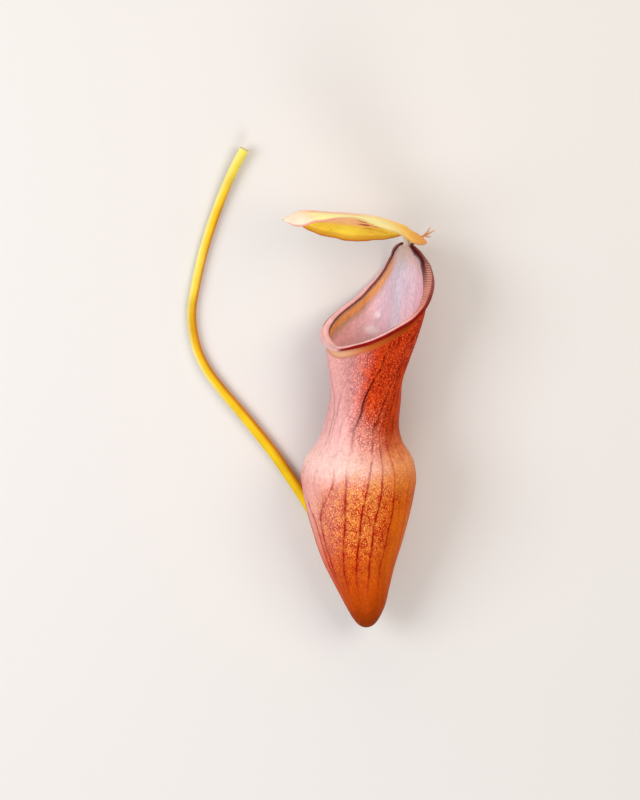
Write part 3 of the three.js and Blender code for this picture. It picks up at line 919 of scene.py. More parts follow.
FORWARD = np.array([1.0, 0.0, 0.0])
stalk_shares = np.linspace(0, 1, STALK_RINGS)
stalk_radii = through(STALK_RADIUS)(stalk_shares) / STALK_WIDER
stalk_points, stalk_faces = closed_rings(
    tube(path_through(STALK), stalk_shares, stalk_radii, STALK_SIDES, FORWARD, STALK_WIDER)
)
stalk_fields = on_rings({"stalk_way": stalk_shares[:, None] + np.zeros(STALK_SIDES)})

# Stalk skin: pale waxy tissue, lilac grey at its foot and straw above, under a fine brown mottle.
STALK_MOTTLE = 900.0  # to a metre, so 1.1 mm each

stalk_skin, stalk_surface = blank_material("pale_stalk_skin")
stalk_way = add(stalk_skin, "ShaderNodeAttribute", {}, attribute_name="stalk_way").outputs["Fac"]
stalk_place = add(stalk_skin, "ShaderNodeTexCoord", {}).outputs["Object"]
stalk_mottle = add(
    stalk_skin, "ShaderNodeTexNoise",
    {"Vector": stalk_place, "Scale": STALK_MOTTLE, "Detail": 3.0},
).outputs["Fac"]
stalk_middle = add(
    stalk_skin, "ShaderNodeMapRange", {"Value": stalk_way, "From Min": 0.15, "From Max": 0.6}
).outputs["Result"]
stalk_colour = colour("#D6C8CE")
for share, tone in ((stalk_middle, "#DCD2B4"), (stalk_mottle, "#B5A189")):
    stalk_colour = add(
        stalk_skin, "ShaderNodeMix", {0: share, 6: stalk_colour, 7: colour(tone)}, data_type="RGBA"
    ).outputs[2]
fill(stalk_skin, stalk_surface, {
    "Base Color": stalk_colour, "Roughness": 0.5, "Specular IOR Level": 0.2,
})

stalk = make_piece("lid_stalk", settled(stalk_points), stalk_faces, [stalk_skin], stalk_fields)
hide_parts("pitcher_cup")
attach(stalk, "root")

# ---- The rim ----------------------------------------------------------------------------------
# A hard glossy band that grows round the mouth and rolls outward. Fine cross ribs, each with a
# tooth at the inner edge, run over it. It is open at the apex, where the stalk stands.

RIM_END = 170.0  # degrees round from the front to each end
RIM_RIBS = 190
RINGS_PER_RIB = 6
RIM_RIB_RISE = 0.24
RIM_TOOTH = 0.5
RIM_TAPER = 9.0  # degrees over which the band narrows to each end, and its size there
RIM_END_SIZE = 0.55
# The band's section from its inner edge over the crown and round the outer roll: outwards, up.
RIM_SECTION = [
    (-2, -0.35), (-1.75, 0.45), (-0.8, 0.85), (0.4, 0.7), (1.35, 0.15), (1.9, -0.6), (1.98, -1.3),
    (1.42, -1.35), (1.1, -0.8), (0.3, -0.3), (-1.1, -0.1),
]
SECTION_STEPS = 44
RIM_BROADER = 1.3  # millimetres, by the apex on the near side
RIM_NEAR_SMALLER = 0.2  # how much smaller, and how much lower, the band is on the near side
RIM_NEAR_LOWER = 0.5


def mouth_point(angle):
    """The middle line of the rim at an angle round from the front."""
    turn, radius = np.radians(angle), mouth_radius(np.abs(angle))
    return np.stack([radius * np.cos(turn), radius * np.sin(turn), mouth_height(np.abs(angle))], -1)


# The ribs stand evenly along the rim's length.
fine_angles = np.linspace(-RIM_END, RIM_END, 4001)
fine_steps = np.linalg.norm(np.diff(mouth_point(fine_angles), axis=0), axis=1)
rim_lengths = np.concatenate([[0], np.cumsum(fine_steps)])
rim_ring_count = RIM_RIBS * RINGS_PER_RIB + 1
rim_angles = np.interp(np.linspace(0, rim_lengths[-1], rim_ring_count), rim_lengths, fine_angles)
section_share = np.linspace(0, 1, SECTION_STEPS, endpoint=False)
section_points = path_through([(x, y, 0) for x, y in RIM_SECTION + RIM_SECTION[:1]])(section_share)

# The ribs cross the top face from the inner edge to the outer one and fade below both.
rib_cover = ease(section_share, -0.01, 0.05) * (1 - ease(section_share, 0.50, 0.60))
tooth_cover = np.exp(-((((section_share + 0.5) % 1 - 0.5) / 0.035) ** 2))
phase = np.arange(rim_ring_count) / RINGS_PER_RIB
crest = 0.5 - 0.5 * np.cos(2 * np.pi * phase)

rim_along = unit(mouth_point(rim_angles + LINE_STEP) - mouth_point(rim_angles - LINE_STEP))
rim_up = unit(np.array([0.0, 0, 1]) - rim_along[:, 2:] * rim_along)
rim_out = np.cross(rim_along, rim_up)
rim_size = RIM_END_SIZE + (1 - RIM_END_SIZE) * ease(RIM_END - np.abs(rim_angles), 0, RIM_TAPER)

along_near_side = ease(rim_angles, -24, 16) * (1 - ease(rim_angles, 112, 142))
rim_size = rim_size * (1 - RIM_NEAR_SMALLER * along_near_side)

section_turn = unit(np.roll(section_points, -1, axis=0) - np.roll(section_points, 1, axis=0))
section_outward = np.stack([-section_turn[:, 1], section_turn[:, 0]], -1)
lift = crest[:, None] * (RIM_RIB_RISE * rib_cover + RIM_TOOTH * tooth_cover)
profile_across = rim_size[:, None] * (section_points[:, 0] + lift * section_outward[:, 0])
# Towards the apex the band's inner side is broader and leans into the mouth.
broader = RIM_BROADER * (ease(rim_angles, 126, 154) + 0.3 * ease(-rim_angles, 150, 164))
profile_across = profile_across - broader[:, None] * ease(-section_points[:, 0], -0.6, 2.0)
profile_up = rim_size[:, None] * (section_points[:, 1] + lift * section_outward[:, 1])
profile_up = profile_up - RIM_NEAR_LOWER * along_near_side[:, None]
rim_rings = (
    mouth_point(rim_angles)[:, None]
    + profile_across[..., None] * rim_out[:, None]
    + profile_up[..., None] * rim_up[:, None]
)
rim_points, rim_faces = closed_rings(rim_rings)

# Rim skin: hard, wet-looking tissue. The crown is pale rose and turns red-brown towards the apex.
# Its paleness, and the pale rose of the outer side at the front, are partly the tissue's own tone
# and partly a painted highlight along the glossy roll. Painted shade darkens the grooves between
# the ribs and a painted highlight lightens their crests. The near outer side is crimson, the teeth
# are pale.
RIM_WASHES = [
    # field, colour
    ("outer_side", "#8C1C14"),
    ("crimson_side", "#840202"),
    ("rose_side", "#E0B2AE"),
    ("crown", "#F0BCB8"),
    ("brown_crown", "#D08472"),
    ("apex_crown", "#6C1808"),
    ("groove_painted_shade", "#5E1410"),
    ("rib_crest_painted_highlight", "#EAC0B4"),
    ("far_edge", "#84402E"),
    ("inner_edge", "#4C0C16"),
    ("tooth", "#F4E4E2"),
]
RIM_CLOUDS = 260.0  # to a metre, so 3.8 mm each

along_rim, over_rim = rim_angles[:, None], section_share[None, :]
near_line = ease(along_rim, -10, 20)
inner_line_wide = 0.19 - 0.12 * ease(along_rim, 88, 112)
crown_ends = 0.31 + near_line * (
    0.09 - 0.04 * ease(along_rim, 24, 50) - 0.05 * ease(along_rim, 110, 140)
)
side_cover = ease(over_rim - crown_ends, 0.0, 0.05) * (1 - ease(over_rim, 0.60, 0.70))
crown_cover = ease(over_rim, 0.05, 0.09) * (1 - ease(over_rim - crown_ends, 0.0, 0.05))
crimson = side_cover * ease(along_rim, 16, 32) * (1 - ease(along_rim, 118, 142))
to_back = ease(along_rim, 94, 130) + ease(-along_rim, 140, 165)
apex_crown = ease(along_rim, 146, 160) + ease(-along_rim, 154, 164)
on_top = ease(over_rim, 0.03, 0.08) * (1 - ease(over_rim, 0.50, 0.58)) * (1 - 0.9 * crimson)
by_apex = ease(along_rim, 132, 156) + ease(-along_rim, 154, 164)
rim_patterns = {
    "outer_side": side_cover + 0 * along_rim,
    "crimson_side": crimson,
    "rose_side": side_cover * (1 - ease(np.abs(along_rim + 24), 30, 44)),
    "crown": crown_cover + 0 * along_rim,
    "brown_crown": crown_cover * to_back,
    "apex_crown": crown_cover * apex_crown,
    # Painted shade in the grooves between the ribs, and a painted highlight on the ribs' crests.
    "groove_painted_shade": on_top * (1 - crest[:, None]) * (0.14 + 0.34 * to_back + 0.3 * by_apex),
    "rib_crest_painted_highlight": on_top * crest[:, None] ** 2 * (0.08 + 0.22 * to_back + 0.3 * by_apex)
    * (1 - 0.75 * apex_crown * (1 - ease(over_rim, 0.20, 0.32))),
    "far_edge": (ease(over_rim, 0.955, 0.99) + 1 - ease(over_rim, 0.0, 0.025)) * (1 - near_line),
    "inner_edge": ease(over_rim, 0.945, 0.985) * near_line
    + (1 - ease(over_rim, inner_line_wide, inner_line_wide + 0.04)) * near_line
    + ease(over_rim, 0.05, 0.11) * (1 - ease(over_rim, 0.15, 0.22)) * by_apex,
    "tooth": crest[:, None] ** 1.5
    * np.exp(-((((over_rim + 0.5) % 1 - 0.5) / 0.06) ** 2))
    * (0.2 + 0.8 * ease(along_rim, 60, 100)),
}

rim_skin, rim_surface = blank_material("hard_rim_skin")
rim_place = add(rim_skin, "ShaderNodeTexCoord", {}).outputs["Object"]
rim_clouds = add(
    rim_skin, "ShaderNodeTexNoise", {"Vector": rim_place, "Scale": RIM_CLOUDS, "Detail": 4.0}
).outputs["Fac"]
rim_colour = shaded(
    rim_skin, washed(rim_skin, colour("#7E2418"), RIM_WASHES), [(rim_clouds, 0.3, 0.7, 0.86, 1.10)]
)
rim_rough = add(
    rim_skin, "ShaderNodeMapRange", {"Value": rim_clouds, "To Min": 0.28, "To Max": 0.40}
).outputs["Result"]
fill(rim_skin, rim_surface, {
    "Base Color": rim_colour, "Roughness": rim_rough, "Specular IOR Level": 0.05,
})

rim = make_piece(
    "ribbed_rim", settled(rim_points), rim_faces, [rim_skin], on_rings(rim_patterns)
)
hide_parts("peristome")
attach(rim, "root")

# ---- The lid ----------------------------------------------------------------------------------
# A thin leaf held over the mouth on its stalk. It is folded along its midrib, the far half
# steeply, with two rounded lobes at the back, a blunt tip and a gently waved margin.

# The midrib's line in the trap's own frame, forward and up, from the lid's back to its tip.
LID_RIDGE = [
    (-29.6, 177.0), (-23.6, 180.0), (-15.3, 183.8), (-4.4, 187.7), (9.4, 190.8), (20.3, 192.7),
    (36.9, 195.3), (45.4, 193.6),
]
LID_STALK_AT = 0.12  # share of the midrib behind the stalk
RIDGE_LENGTH = 78.0
RIDGE_STEP = 0.003
LID_THICK = 0.9
LID_MARGIN_THICK = 0.45
LID_WAVE = 0.5  # how high the margin's slow wave and its fine scallops are
LID_SCALLOP = 0.09
LID_WAVES = 23.0  # how far the wave's sine runs along the lid
FAR_WAVE = 0.35  # the far half's wave, as a share of the near half's
# Each half unfolded, from the stalk round its back lobe to the tip: share of the midrib, width.
LID_OUTLINE_NEAR = [
    (0.12, 0.6), (0.03, 3), (0, 6.5), (0.045, 9.6), (0.14, 11.6), (0.3, 13.2), (0.5, 14.4),
    (0.66, 14.8), (0.8, 12.8), (0.9, 9.4), (0.965, 6.4), (1, 0.6),
]
LID_OUTLINE_FAR = [
    (0.12, 0.6), (0.1, 3), (0.12, 5.6), (0.18, 8.8), (0.29, 12.6), (0.42, 14), (0.57, 13.4),
    (0.71, 11), (0.83, 8.2), (0.93, 5), (1, 0.6),
]
# By how many degrees each half is folded down at a share of the midrib, at its margin.
LID_DROOP_NEAR = [
    (0, 26), (0.13, 27), (0.32, 16), (0.5, 5), (0.7, -3), (0.86, 14), (0.94, 38), (1, 44),
]
LID_DROOP_FAR = [(0, 48), (0.2, 58), (0.5, 61), (1, 61)]
DROOP_AT_MIDRIB = 0.75  # the fold beside the midrib, as a share of the margin's
MIDRIB_RISE = 0.55
MIDRIB_BELOW = 0.35  # how much of the midrib's rise shows underneath
MIDRIB_HALF = 0.9
LID_ROWS = 240
LID_COLUMNS = 90

ridge_path = path_through([(x, 0, z) for x, z in LID_RIDGE])
outline_near, outline_far = (
    path_through([(share * RIDGE_LENGTH, wide, 0) for share, wide in outline])
    for outline in (LID_OUTLINE_NEAR, LID_OUTLINE_FAR)
)
lid_way, lid_side = np.meshgrid(
    np.linspace(0, 1, LID_ROWS), np.linspace(-1, 1, LID_COLUMNS + 1), indexing="ij"
)
is_near = lid_side > 0
out_share = np.abs(lid_side)
lid_edge = np.where(is_near[..., None], outline_near(lid_way), outline_far(lid_way))
lid_share = (LID_STALK_AT + (1 - LID_STALK_AT) * lid_way) * (1 - out_share)
lid_share = np.clip(lid_share + lid_edge[..., 0] / RIDGE_LENGTH * out_share, 0, 1)
lid_reach = out_share * lid_edge[..., 1]
ridge_ahead = ridge_path(np.minimum(lid_share + RIDGE_STEP, 1))
ridge_along = unit(ridge_ahead - ridge_path(np.maximum(lid_share - RIDGE_STEP, 0)))
ridge_up = np.stack([-ridge_along[..., 2], np.zeros_like(lid_way), ridge_along[..., 0]], -1)
droop = np.where(is_near, through(LID_DROOP_NEAR)(lid_share), through(LID_DROOP_FAR)(lid_share))
droop = np.radians(droop * (DROOP_AT_MIDRIB + (1 - DROOP_AT_MIDRIB) * out_share))
near_wave, far_wave = np.sin(lid_way * LID_WAVES), np.sin(lid_way * LID_WAVES + 2)
wave = LID_WAVE * lid_side**2 * np.where(is_near, near_wave, FAR_WAVE * far_wave)
scallops = np.sin(lid_way * 41 + 1.5 * lid_side) + 0.6 * np.sin(lid_way * 67 + lid_side)
wave = wave + LID_SCALLOP * lid_side**6 * scallops
lid_middle = ridge_path(lid_share) + (wave - lid_reach * np.sin(droop))[..., None] * ridge_up
lid_middle[..., 1] += np.sign(lid_side) * lid_reach * np.cos(droop)
lid_square = unit(np.cross(np.gradient(lid_middle, axis=0), np.gradient(lid_middle, axis=1)))
lid_half = 0.5 * (LID_THICK + (LID_MARGIN_THICK - LID_THICK) * ease(out_share, 0.3, 1.0))
midrib = np.exp(-((lid_reach / MIDRIB_HALF) ** 2)) * MIDRIB_RISE * (1 - ease(lid_way, 0.85, 1))


def blade_faces(rows, columns):
    """Faces of a thin blade: the upper grid, the lower grid turned over, and the strip round its
    margin that joins them."""
    grid = np.arange(rows * columns).reshape(rows, columns)
    a, b, c, d = grid[:-1, :-1], grid[:-1, 1:], grid[1:, 1:], grid[1:, :-1]
    upper = np.stack([a, d, c, b], -1).reshape(-1, 4)
    lower = np.stack([a, b, c, d], -1).reshape(-1, 4) + rows * columns
    margin = np.concatenate([grid[0, :-1], grid[:-1, -1], grid[-1, :0:-1], grid[:0:-1, 0]])
    ahead = np.roll(margin, -1)
    strip = np.stack([margin, ahead, ahead + rows * columns, margin + rows * columns], -1)
    return [upper, lower, strip]


lid_upper = lid_middle + lid_square * (lid_half + midrib)[..., None]
lid_lower = lid_middle - lid_square * (lid_half + MIDRIB_BELOW * midrib)[..., None]
lid_points = settled(np.concatenate([lid_upper.reshape(-1, 3), lid_lower.reshape(-1, 3)]))
lid_faces = blade_faces(LID_ROWS, LID_COLUMNS + 1)

# Lid skin: a thin satin leaf. The near half is pale yellow, pink along the fold and at the tip. The
# far half is golden, orange along the fold with red-brown streaks, and brown at its margin.
LID_WASHES = [
    # field, colour
    ("far_half", "#F4BE38"),
    ("far_light", "#FFDE48"),
    ("far_fold", "#FFC488"),
    ("far_margin", "#BC6E18"),
    ("rear_lobe", "#F7C656"),
    ("rear_tip", "#E8983C"),
    ("near_fold", "#F8C0A0"),
    ("lid_tip", "#FFDCC2"),
    ("near_margin", "#DE9A5C"),
    ("tip_margin", "#E69A86"),
]
LID_VEINS = 560.0  # to a metre, so 1.8 mm each
LID_VEINS_LONGER = 0.16
LID_CLOUDS = 170.0  # 5.9 mm each
KEEL_LINES = 800.0  # 1.3 mm each
KEEL_LINES_LONGER = 0.10

near_half = ease(lid_side, -0.03, 0.03)
far_half = 1 - near_half
lid_patterns = {
    "far_half": far_half,
    "far_light": far_half * ease(out_share, 0.38, 0.55) * (1 - ease(out_share, 0.86, 0.95))
    * (0.45 + 0.55 * np.sin(9 * lid_share + 0.4) ** 2),
    "far_fold": far_half * (1 - ease(out_share, 0.30, 0.52)),
    "far_margin": far_half
    * (0.5 * ease(out_share, 0.72, 0.86) + 0.5 * ease(out_share, 0.92, 0.99)),
    "rear_lobe": near_half * (1 - ease(lid_share, 0.12, 0.42)),
    "rear_tip": near_half * (1 - ease(lid_share, 0.0, 0.2)),
    "near_fold": near_half * (1 - ease(out_share, 0.05, 0.24))
    * (0.5 + 0.5 * ease(lid_share, 0.35, 0.6)),
    "lid_tip": near_half * ease(lid_share, 0.80, 0.92),
    "near_margin": near_half * ease(out_share, 0.90, 0.99)
    * (0.45 + 0.55 * (1 - ease(lid_share, 0.1, 0.3))),
    "tip_margin": near_half * ease(out_share, 0.84, 0.97) * ease(lid_share, 0.58, 0.78),
    "keel_streak": far_half * ease(lid_share, 0.10, 0.20) * (1 - ease(lid_share, 0.36, 0.52))
    * np.exp(-(((out_share - 0.64 + 0.8 * lid_share) / 0.15) ** 2)),
    "glands": 0.6 * far_half * (1 - ease(out_share, 0.75, 0.9)),
}
lid_fields = {key: np.concatenate([field.ravel()] * 2) for key, field in lid_patterns.items()}
lid_out = lid_side * lid_reach / np.maximum(out_share, 0.01)
on_blade = np.stack([lid_share * RIDGE_LENGTH, lid_out, 0 * lid_way], -1).reshape(-1, 3) / 1000
lid_fields["on_blade"] = np.concatenate([on_blade] * 2)

lid_skin, lid_surface = blank_material("lid_leaf_skin")
blade_place = add(lid_skin, "ShaderNodeAttribute", {}, attribute_name="on_blade").outputs["Vector"]
blade_drawn_out = add(
    lid_skin, "ShaderNodeMapping", {"Vector": blade_place, "Scale": (LID_VEINS_LONGER, 1, 1)}
).outputs["Vector"]
lid_veins = add(
    lid_skin, "ShaderNodeTexNoise",
    {"Vector": blade_drawn_out, "Scale": LID_VEINS, "Detail": 4.0, "Roughness": 0.6},
).outputs["Fac"]
lid_clouds = add(
    lid_skin, "ShaderNodeTexNoise", {"Vector": blade_place, "Scale": LID_CLOUDS, "Detail": 4.0}
).outputs["Fac"]
lid_colour = shaded(
    lid_skin, washed(lid_skin, colour("#FFF4A4"), LID_WASHES),
    [(lid_veins, 0.3, 0.7, 0.95, 1.08), (lid_clouds, 0.3, 0.7, 0.96, 1.08)],
)

# Red-brown streaks beside the fold, cut out of a noise drawn out along the lid.
keel_drawn_out = add(
    lid_skin, "ShaderNodeMapping", {"Vector": blade_place, "Scale": (KEEL_LINES_LONGER, 1, 1)}
).outputs["Vector"]
keel_lines = add(
    lid_skin, "ShaderNodeTexNoise", {"Vector": keel_drawn_out, "Scale": KEEL_LINES, "Detail": 2.0}
).outputs["Fac"]
streak_cut = add(
    lid_skin, "ShaderNodeMapRange",
    {"Value": keel_lines, "From Min": 0.49, "From Max": 0.55, "To Min": 0.0, "To Max": 1.0},
).outputs["Result"]
streaks_here, glands_here = (
    add(lid_skin, "ShaderNodeAttribute", {}, attribute_name=name).outputs["Fac"]
    for name in ("keel_streak", "glands")
)
streak_share = add(
    lid_skin, "ShaderNodeMath", {0: streaks_here, 1: streak_cut}, operation="MULTIPLY"
).outputs[0]

# Nectar glands: olive dots about 0.7 mm across, in four of ten places of a 2.4 mm scatter.
GLAND_APART = 0.0024  # metres
gland_spots = add(
    lid_skin, "ShaderNodeTexVoronoi", {"Vector": blade_place, "Scale": 1 / GLAND_APART}, feature="F1"
)
gland_share = add(
    lid_skin, "ShaderNodeMapRange",
    {
        "Value": gland_spots.outputs["Distance"], "From Min": 0.10, "From Max": 0.20,
        "To Min": 1.0, "To Max": 0.0,
    },
).outputs["Result"]
gland_chance = add(
    lid_skin, "ShaderNodeSeparateColor", {"Color": gland_spots.outputs["Color"]}
).outputs["Red"]
gland_chosen = add(
    lid_skin, "ShaderNodeMath", {0: gland_chance, 1: 0.62}, operation="GREATER_THAN"
).outputs[0]
for factor in (gland_chosen, glands_here):
    gland_share = add(
        lid_skin, "ShaderNodeMath", {0: gland_share, 1: factor}, operation="MULTIPLY"
    ).outputs[0]
for share, tone in ((streak_share, "#A02C12"), (gland_share, "#8E7A14")):
    lid_colour = add(
        lid_skin, "ShaderNodeMix", {0: share, 6: lid_colour, 7: colour(tone)}, data_type="RGBA"
    ).outputs[2]
lid_relief = add(
    lid_skin, "ShaderNodeBump", {"Height": lid_veins, "Strength": 0.35, "Distance": 0.0003}
).outputs["Normal"]
fill(lid_skin, lid_surface, {
    "Base Color": lid_colour, "Normal": lid_relief, "Roughness": 0.45, "Specular IOR Level": 0.12,
})

lid = make_piece("folded_lid", lid_points, lid_faces, [lid_skin], lid_fields)
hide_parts("lid")
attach(lid, "root")

# ---- The spur ---------------------------------------------------------------------------------
# The leaf's old growing point: a small stiff twig that grows out of the cup's apex behind the lid.
# It is branched into three at its tip.

SPUR_STEM = [(-22.6, 0, 171.6), (-24.1, 0, 172.9), (-27.6, 0.3, 175), (-31.3, 0.2, 176.5)]
SPUR_BRANCHES = [
    [(-30.0, 0.2, 175.9), (-30.7, 0.2, 176.3), (-32.9, 0.5, 178.2), (-34.4, 0.2, 180.4)],
    [(-30.0, 0.2, 175.9), (-31, 0.2, 176.4), (-34.2, -0.3, 177), (-37.2, 0.2, 178.2)],
    [(-30.0, 0.2, 175.9), (-31, 0.2, 176.4), (-33.1, 0.6, 175.7), (-34.8, 0.3, 175.4)],
]
SPUR_RADIUS = [(0, 1.0), (0.2, 0.78), (0.9, 0.56), (1, 0.4)]
BRANCH_RADIUS = [(0, 0.46), (0.85, 0.3), (1, 0.12)]

SPUR_SIDES = 16
SPUR_RINGS = 30
SIDEWAYS = np.array([0.0, 1.0, 0.0])

# Each part has its route, its radius, how pale it is at its end and how dark at its foot.
spur_routes = [(SPUR_STEM, SPUR_RADIUS, 0.3, 1.0)]
spur_routes += [(branch, BRANCH_RADIUS, 1.0, 0.0) for branch in SPUR_BRANCHES]
spur_shares = np.linspace(0, 1, SPUR_RINGS)
spur_way = spur_shares[:, None] + np.zeros(SPUR_SIDES)
spur_points, spur_faces, spur_parts = [], [], []
for route, radii, pale_end, dark_foot in spur_routes:
    part_points, part_faces = closed_rings(
        tube(path_through(route), spur_shares, through(radii)(spur_shares), SPUR_SIDES, SIDEWAYS)
    )
    points_before = sum(len(points) for points in spur_points)
    spur_faces += [faces + points_before for faces in part_faces]
    spur_points.append(part_points)
    spur_parts.append(on_rings({
        "spur_ends": pale_end * spur_way,
        "spur_foot": dark_foot * (1 - ease(spur_way, 0.2, 0.5)),
    }))
spur_fields = {key: np.concatenate([part[key] for part in spur_parts]) for key in spur_parts[0]}

# Twig skin: dry, slightly rough tissue, orange at the stem, straw at the branch ends and dark where
# it grows out of the cup.
TWIG_GRAIN = 1500.0  # to a metre, so 0.7 mm each

spur_skin, spur_surface = blank_material("dry_twig_skin")
spur_place = add(spur_skin, "ShaderNodeTexCoord", {}).outputs["Object"]
spur_grain = add(
    spur_skin, "ShaderNodeTexNoise", {"Vector": spur_place, "Scale": TWIG_GRAIN, "Detail": 3.0}
).outputs["Fac"]
spur_colour = washed(
    spur_skin, colour("#CC6A34"), [("spur_ends", "#E8B886"), ("spur_foot", "#5C1C12")]
)
spur_relief = add(
    spur_skin, "ShaderNodeBump", {"Height": spur_grain, "Strength": 0.5, "Distance": 0.0002}
).outputs["Normal"]
fill(spur_skin, spur_surface, {
    "Base Color": shaded(spur_skin, spur_colour, [(spur_grain, 0.0, 1.0, 0.75, 1.2)]),
    "Normal": spur_relief, "Roughness": 0.6,
})

spur = make_piece(
    "branched_spur", settled(np.concatenate(spur_points)), spur_faces, [spur_skin], spur_fields
)
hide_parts("spur")
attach(spur, "root")

# ---- The tendril ------------------------------------------------------------------------------
# The long smooth stalk that carried the trap. It lies along the table in a wide bow, from the
# plain cut where it was picked to the cup's underside, which it grows into.

# Its middle line in millimetres from the point of the table under the cup's tip.
TENDRIL_ROUTE = [
    (-55.1, 215.2, 4.6), (-61.1, 203.2, 3.3), (-67.7, 186.6, 2.3), (-73, 170.2, 2.05),
    (-76.9, 153.7, 2), (-78.9, 140.1, 2), (-76.9, 125.9, 2.15), (-72.3, 115.4, 2.3),
    (-64.3, 104.5, 2.35), (-54.9, 93.3, 2.4), (-42.1, 77.1, 2.4), (-34.7, 66.2, 2.6),
    (-27, 54.5, 3.1), (-19.8, 41.8, 4.2), (-12.2, 27.8, 6.4), (-5.9, 15.6, 10), (-2.8, 9.4, 13.4),
    (-0.5, 5.8, 16.5),
]
TENDRIL_RADIUS = [(0, 2.15), (0.42, 2.1), (0.58, 2.4), (0.88, 2.5), (1, 3)]
TENDRIL_LENGTH = 234  # along its middle
TENDRIL_MEAN_RADIUS = 2.3
FOOT_SWELL = 0.25  # how much thicker it is where it grows into the cup
GROWN_IN = 0.35  # how deep its end sits in the cup's skin
CUT_RINGS = (0.35, 0.7, 0.92)  # the rings that fill the cut's disc, as shares of its size
TENDRIL_SIDES = 40
TENDRIL_RINGS = 700

tendril_path = path_through(TENDRIL_ROUTE)
tendril_radius = through(TENDRIL_RADIUS)


def tendril_point(turn_index, share):
    """A point of the tendril's skin, from its place round the stalk and its share along it."""
    ahead = tendril_path(np.minimum(share + SHARE_STEP, 1))
    along = unit(ahead - tendril_path(np.maximum(share - SHARE_STEP, 0)))
    across = unit(np.cross(along, [0.0, 0, 1]))
    up = np.cross(across, along)
    turn = -2 * np.pi * (turn_index + 0.5) / TENDRIL_SIDES
    swell = 1 + FOOT_SWELL * ease(share, 0.965, 1.0)
    radius = (tendril_radius(share) * swell)[..., None]
    out = np.cos(turn)[..., None] * across + np.sin(turn)[..., None] * up
    point = tendril_path(share) + radius * out
    point[..., 2] = np.maximum(point[..., 2], 0)
    return point


def depth_in_cup(points):
    """How far points of the tendril's own frame lie inside the cup's skin, in millimetres."""
    own = (points - np.array([0, 0, TIP_AT[2]])) @ turned_down().T
    from_axis = np.hypot(own[..., 0] - axis_bow(own[..., 2]), own[..., 1])
    return radius_by_root(np.sqrt(np.maximum(own[..., 2], 0))) - from_axis


# Each line of the skin ends where it is deep enough in the cup.
share_grid, turn_grid = np.meshgrid(
    np.linspace(0.9, 1, 400), np.arange(TENDRIL_SIDES, dtype=float), indexing="ij"
)
inside = depth_in_cup(tendril_point(turn_grid, share_grid)) > GROWN_IN
end_share = np.where(inside.any(axis=0), share_grid[inside.argmax(axis=0), 0], 1.0)

base_share, turn_grid = np.meshgrid(
    np.linspace(0, 1, TENDRIL_RINGS), np.arange(TENDRIL_SIDES, dtype=float), indexing="ij"
)
tendril_share = base_share * (1 + (end_share - 1) * ease(base_share, 0.8, 1.0))
tendril_rings = tendril_point(turn_grid, tendril_share)
# The cut end is a flat disc with a barely rounded edge.
cut_middle = tendril_rings[0].mean(axis=0)
cut_rings = [cut_middle + size * (tendril_rings[0] - cut_middle) for size in CUT_RINGS]
tendril_rings = np.concatenate([np.stack(cut_rings), tendril_rings])
tendril_points, tendril_faces = closed_rings(tendril_rings)

# Tendril skin: smooth golden tissue, paler near the cut. A painted highlight runs along the side
# towards the key box, and painted shade, a darker orange, along the other side.
TENDRIL_WASHES = [
    # field, colour
    ("pale_stretch", "#EADA5A"),
    ("orange_stretch", "#C88A04"),
    ("painted_highlight_side", "#F6EC94"),
    ("painted_shade_side", "#CB7410"),
    ("joint_blush", "#D89060"),
    ("cut_face", "#E4DDA6"),
    ("cut_ring", "#A98A2E"),
]
FIBRES = 900.0  # to a metre, so 1.1 mm each
FIBRES_LONGER = 0.05
LONG_CLOUDS = 90.0  # 11 mm each

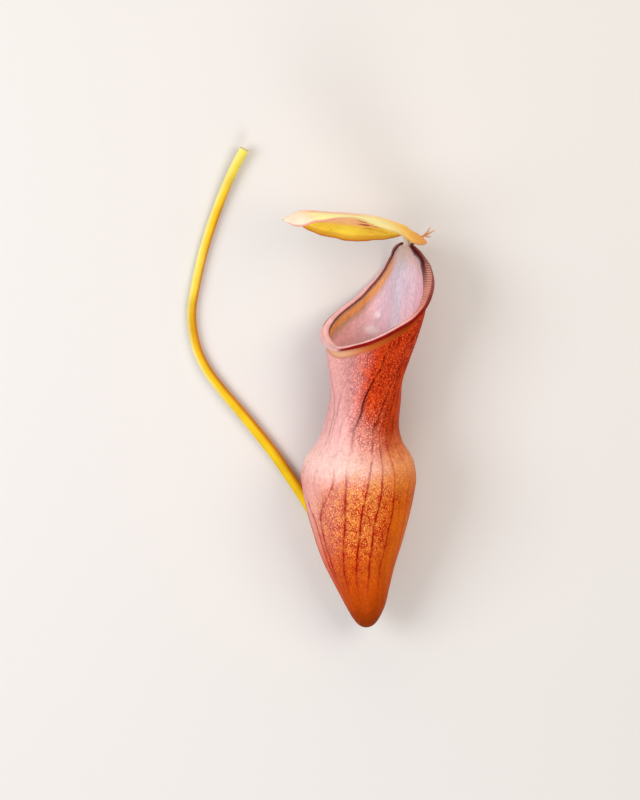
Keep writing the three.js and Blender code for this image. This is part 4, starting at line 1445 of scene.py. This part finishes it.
ring_share = np.concatenate([np.zeros((len(cut_rings), TENDRIL_SIDES)), tendril_share])
ring_turn = 2 * np.pi * (np.arange(TENDRIL_SIDES) + 0.5) / TENDRIL_SIDES + 0 * ring_share
from_cut = np.arange(len(ring_share))[:, None] + 0 * ring_share
tendril_patterns = {
    "pale_stretch": 1 - ease(ring_share, 0.0, 0.14)
    + 0.6 * np.exp(-(((ring_share - 0.25) / 0.06) ** 2)),
    "orange_stretch": 0.6 * np.exp(-(((ring_share - 0.36) / 0.05) ** 2)),
    # Painted highlight along one side of the tendril, and painted shade in darker orange along the
    # other.
    "painted_highlight_side": 0.75 * ease(np.cos(ring_turn), 0.15, 0.85) * (1 - ease(ring_share, 0.38, 0.62)),
    "painted_shade_side": 0.9 * ease(-np.cos(ring_turn), 0.15, 0.9) * ease(ring_share, 0.03, 0.14),
    "joint_blush": 0.7 * ease(ring_share, 0.975, 1.0),
    "cut_face": 1.0 * (from_cut < len(cut_rings)),
    "cut_ring": 0.8 * (from_cut == len(cut_rings) - 1),
}
tendril_patterns["round_stalk"] = np.stack(
    [
        TENDRIL_MEAN_RADIUS * np.cos(ring_turn), TENDRIL_MEAN_RADIUS * np.sin(ring_turn),
        TENDRIL_LENGTH * ring_share,
    ], -1,
) / 1000

tendril_skin, tendril_surface = blank_material("smooth_tendril_skin")
round_here = add(
    tendril_skin, "ShaderNodeAttribute", {}, attribute_name="round_stalk"
).outputs["Vector"]
fibre_place = add(
    tendril_skin, "ShaderNodeMapping", {"Vector": round_here, "Scale": (1, 1, FIBRES_LONGER)}
).outputs["Vector"]
fibres = add(
    tendril_skin, "ShaderNodeTexNoise",
    {"Vector": fibre_place, "Scale": FIBRES, "Detail": 3.0, "Roughness": 0.6},
).outputs["Fac"]
long_clouds = add(
    tendril_skin, "ShaderNodeTexNoise", {"Vector": round_here, "Scale": LONG_CLOUDS, "Detail": 3.0}
).outputs["Fac"]
tendril_colour = shaded(
    tendril_skin, washed(tendril_skin, colour("#E6BE14"), TENDRIL_WASHES),
    [(fibres, 0.3, 0.7, 0.90, 1.06), (long_clouds, 0.3, 0.7, 0.86, 1.10)],
)
fibre_relief = add(
    tendril_skin, "ShaderNodeBump", {"Height": fibres, "Strength": 0.3, "Distance": 0.0002}
).outputs["Normal"]
fill(tendril_skin, tendril_surface, {
    "Base Color": tendril_colour, "Normal": fibre_relief, "Roughness": 0.4,
    "Specular IOR Level": 0.12,
})

tendril = make_piece(
    "bowed_tendril", (tendril_points + np.array([TIP_AT[0], TIP_AT[1], 0])) / 1000,
    tendril_faces, [tendril_skin], on_rings(tendril_patterns),
)
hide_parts("tendril")
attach(tendril, "root")
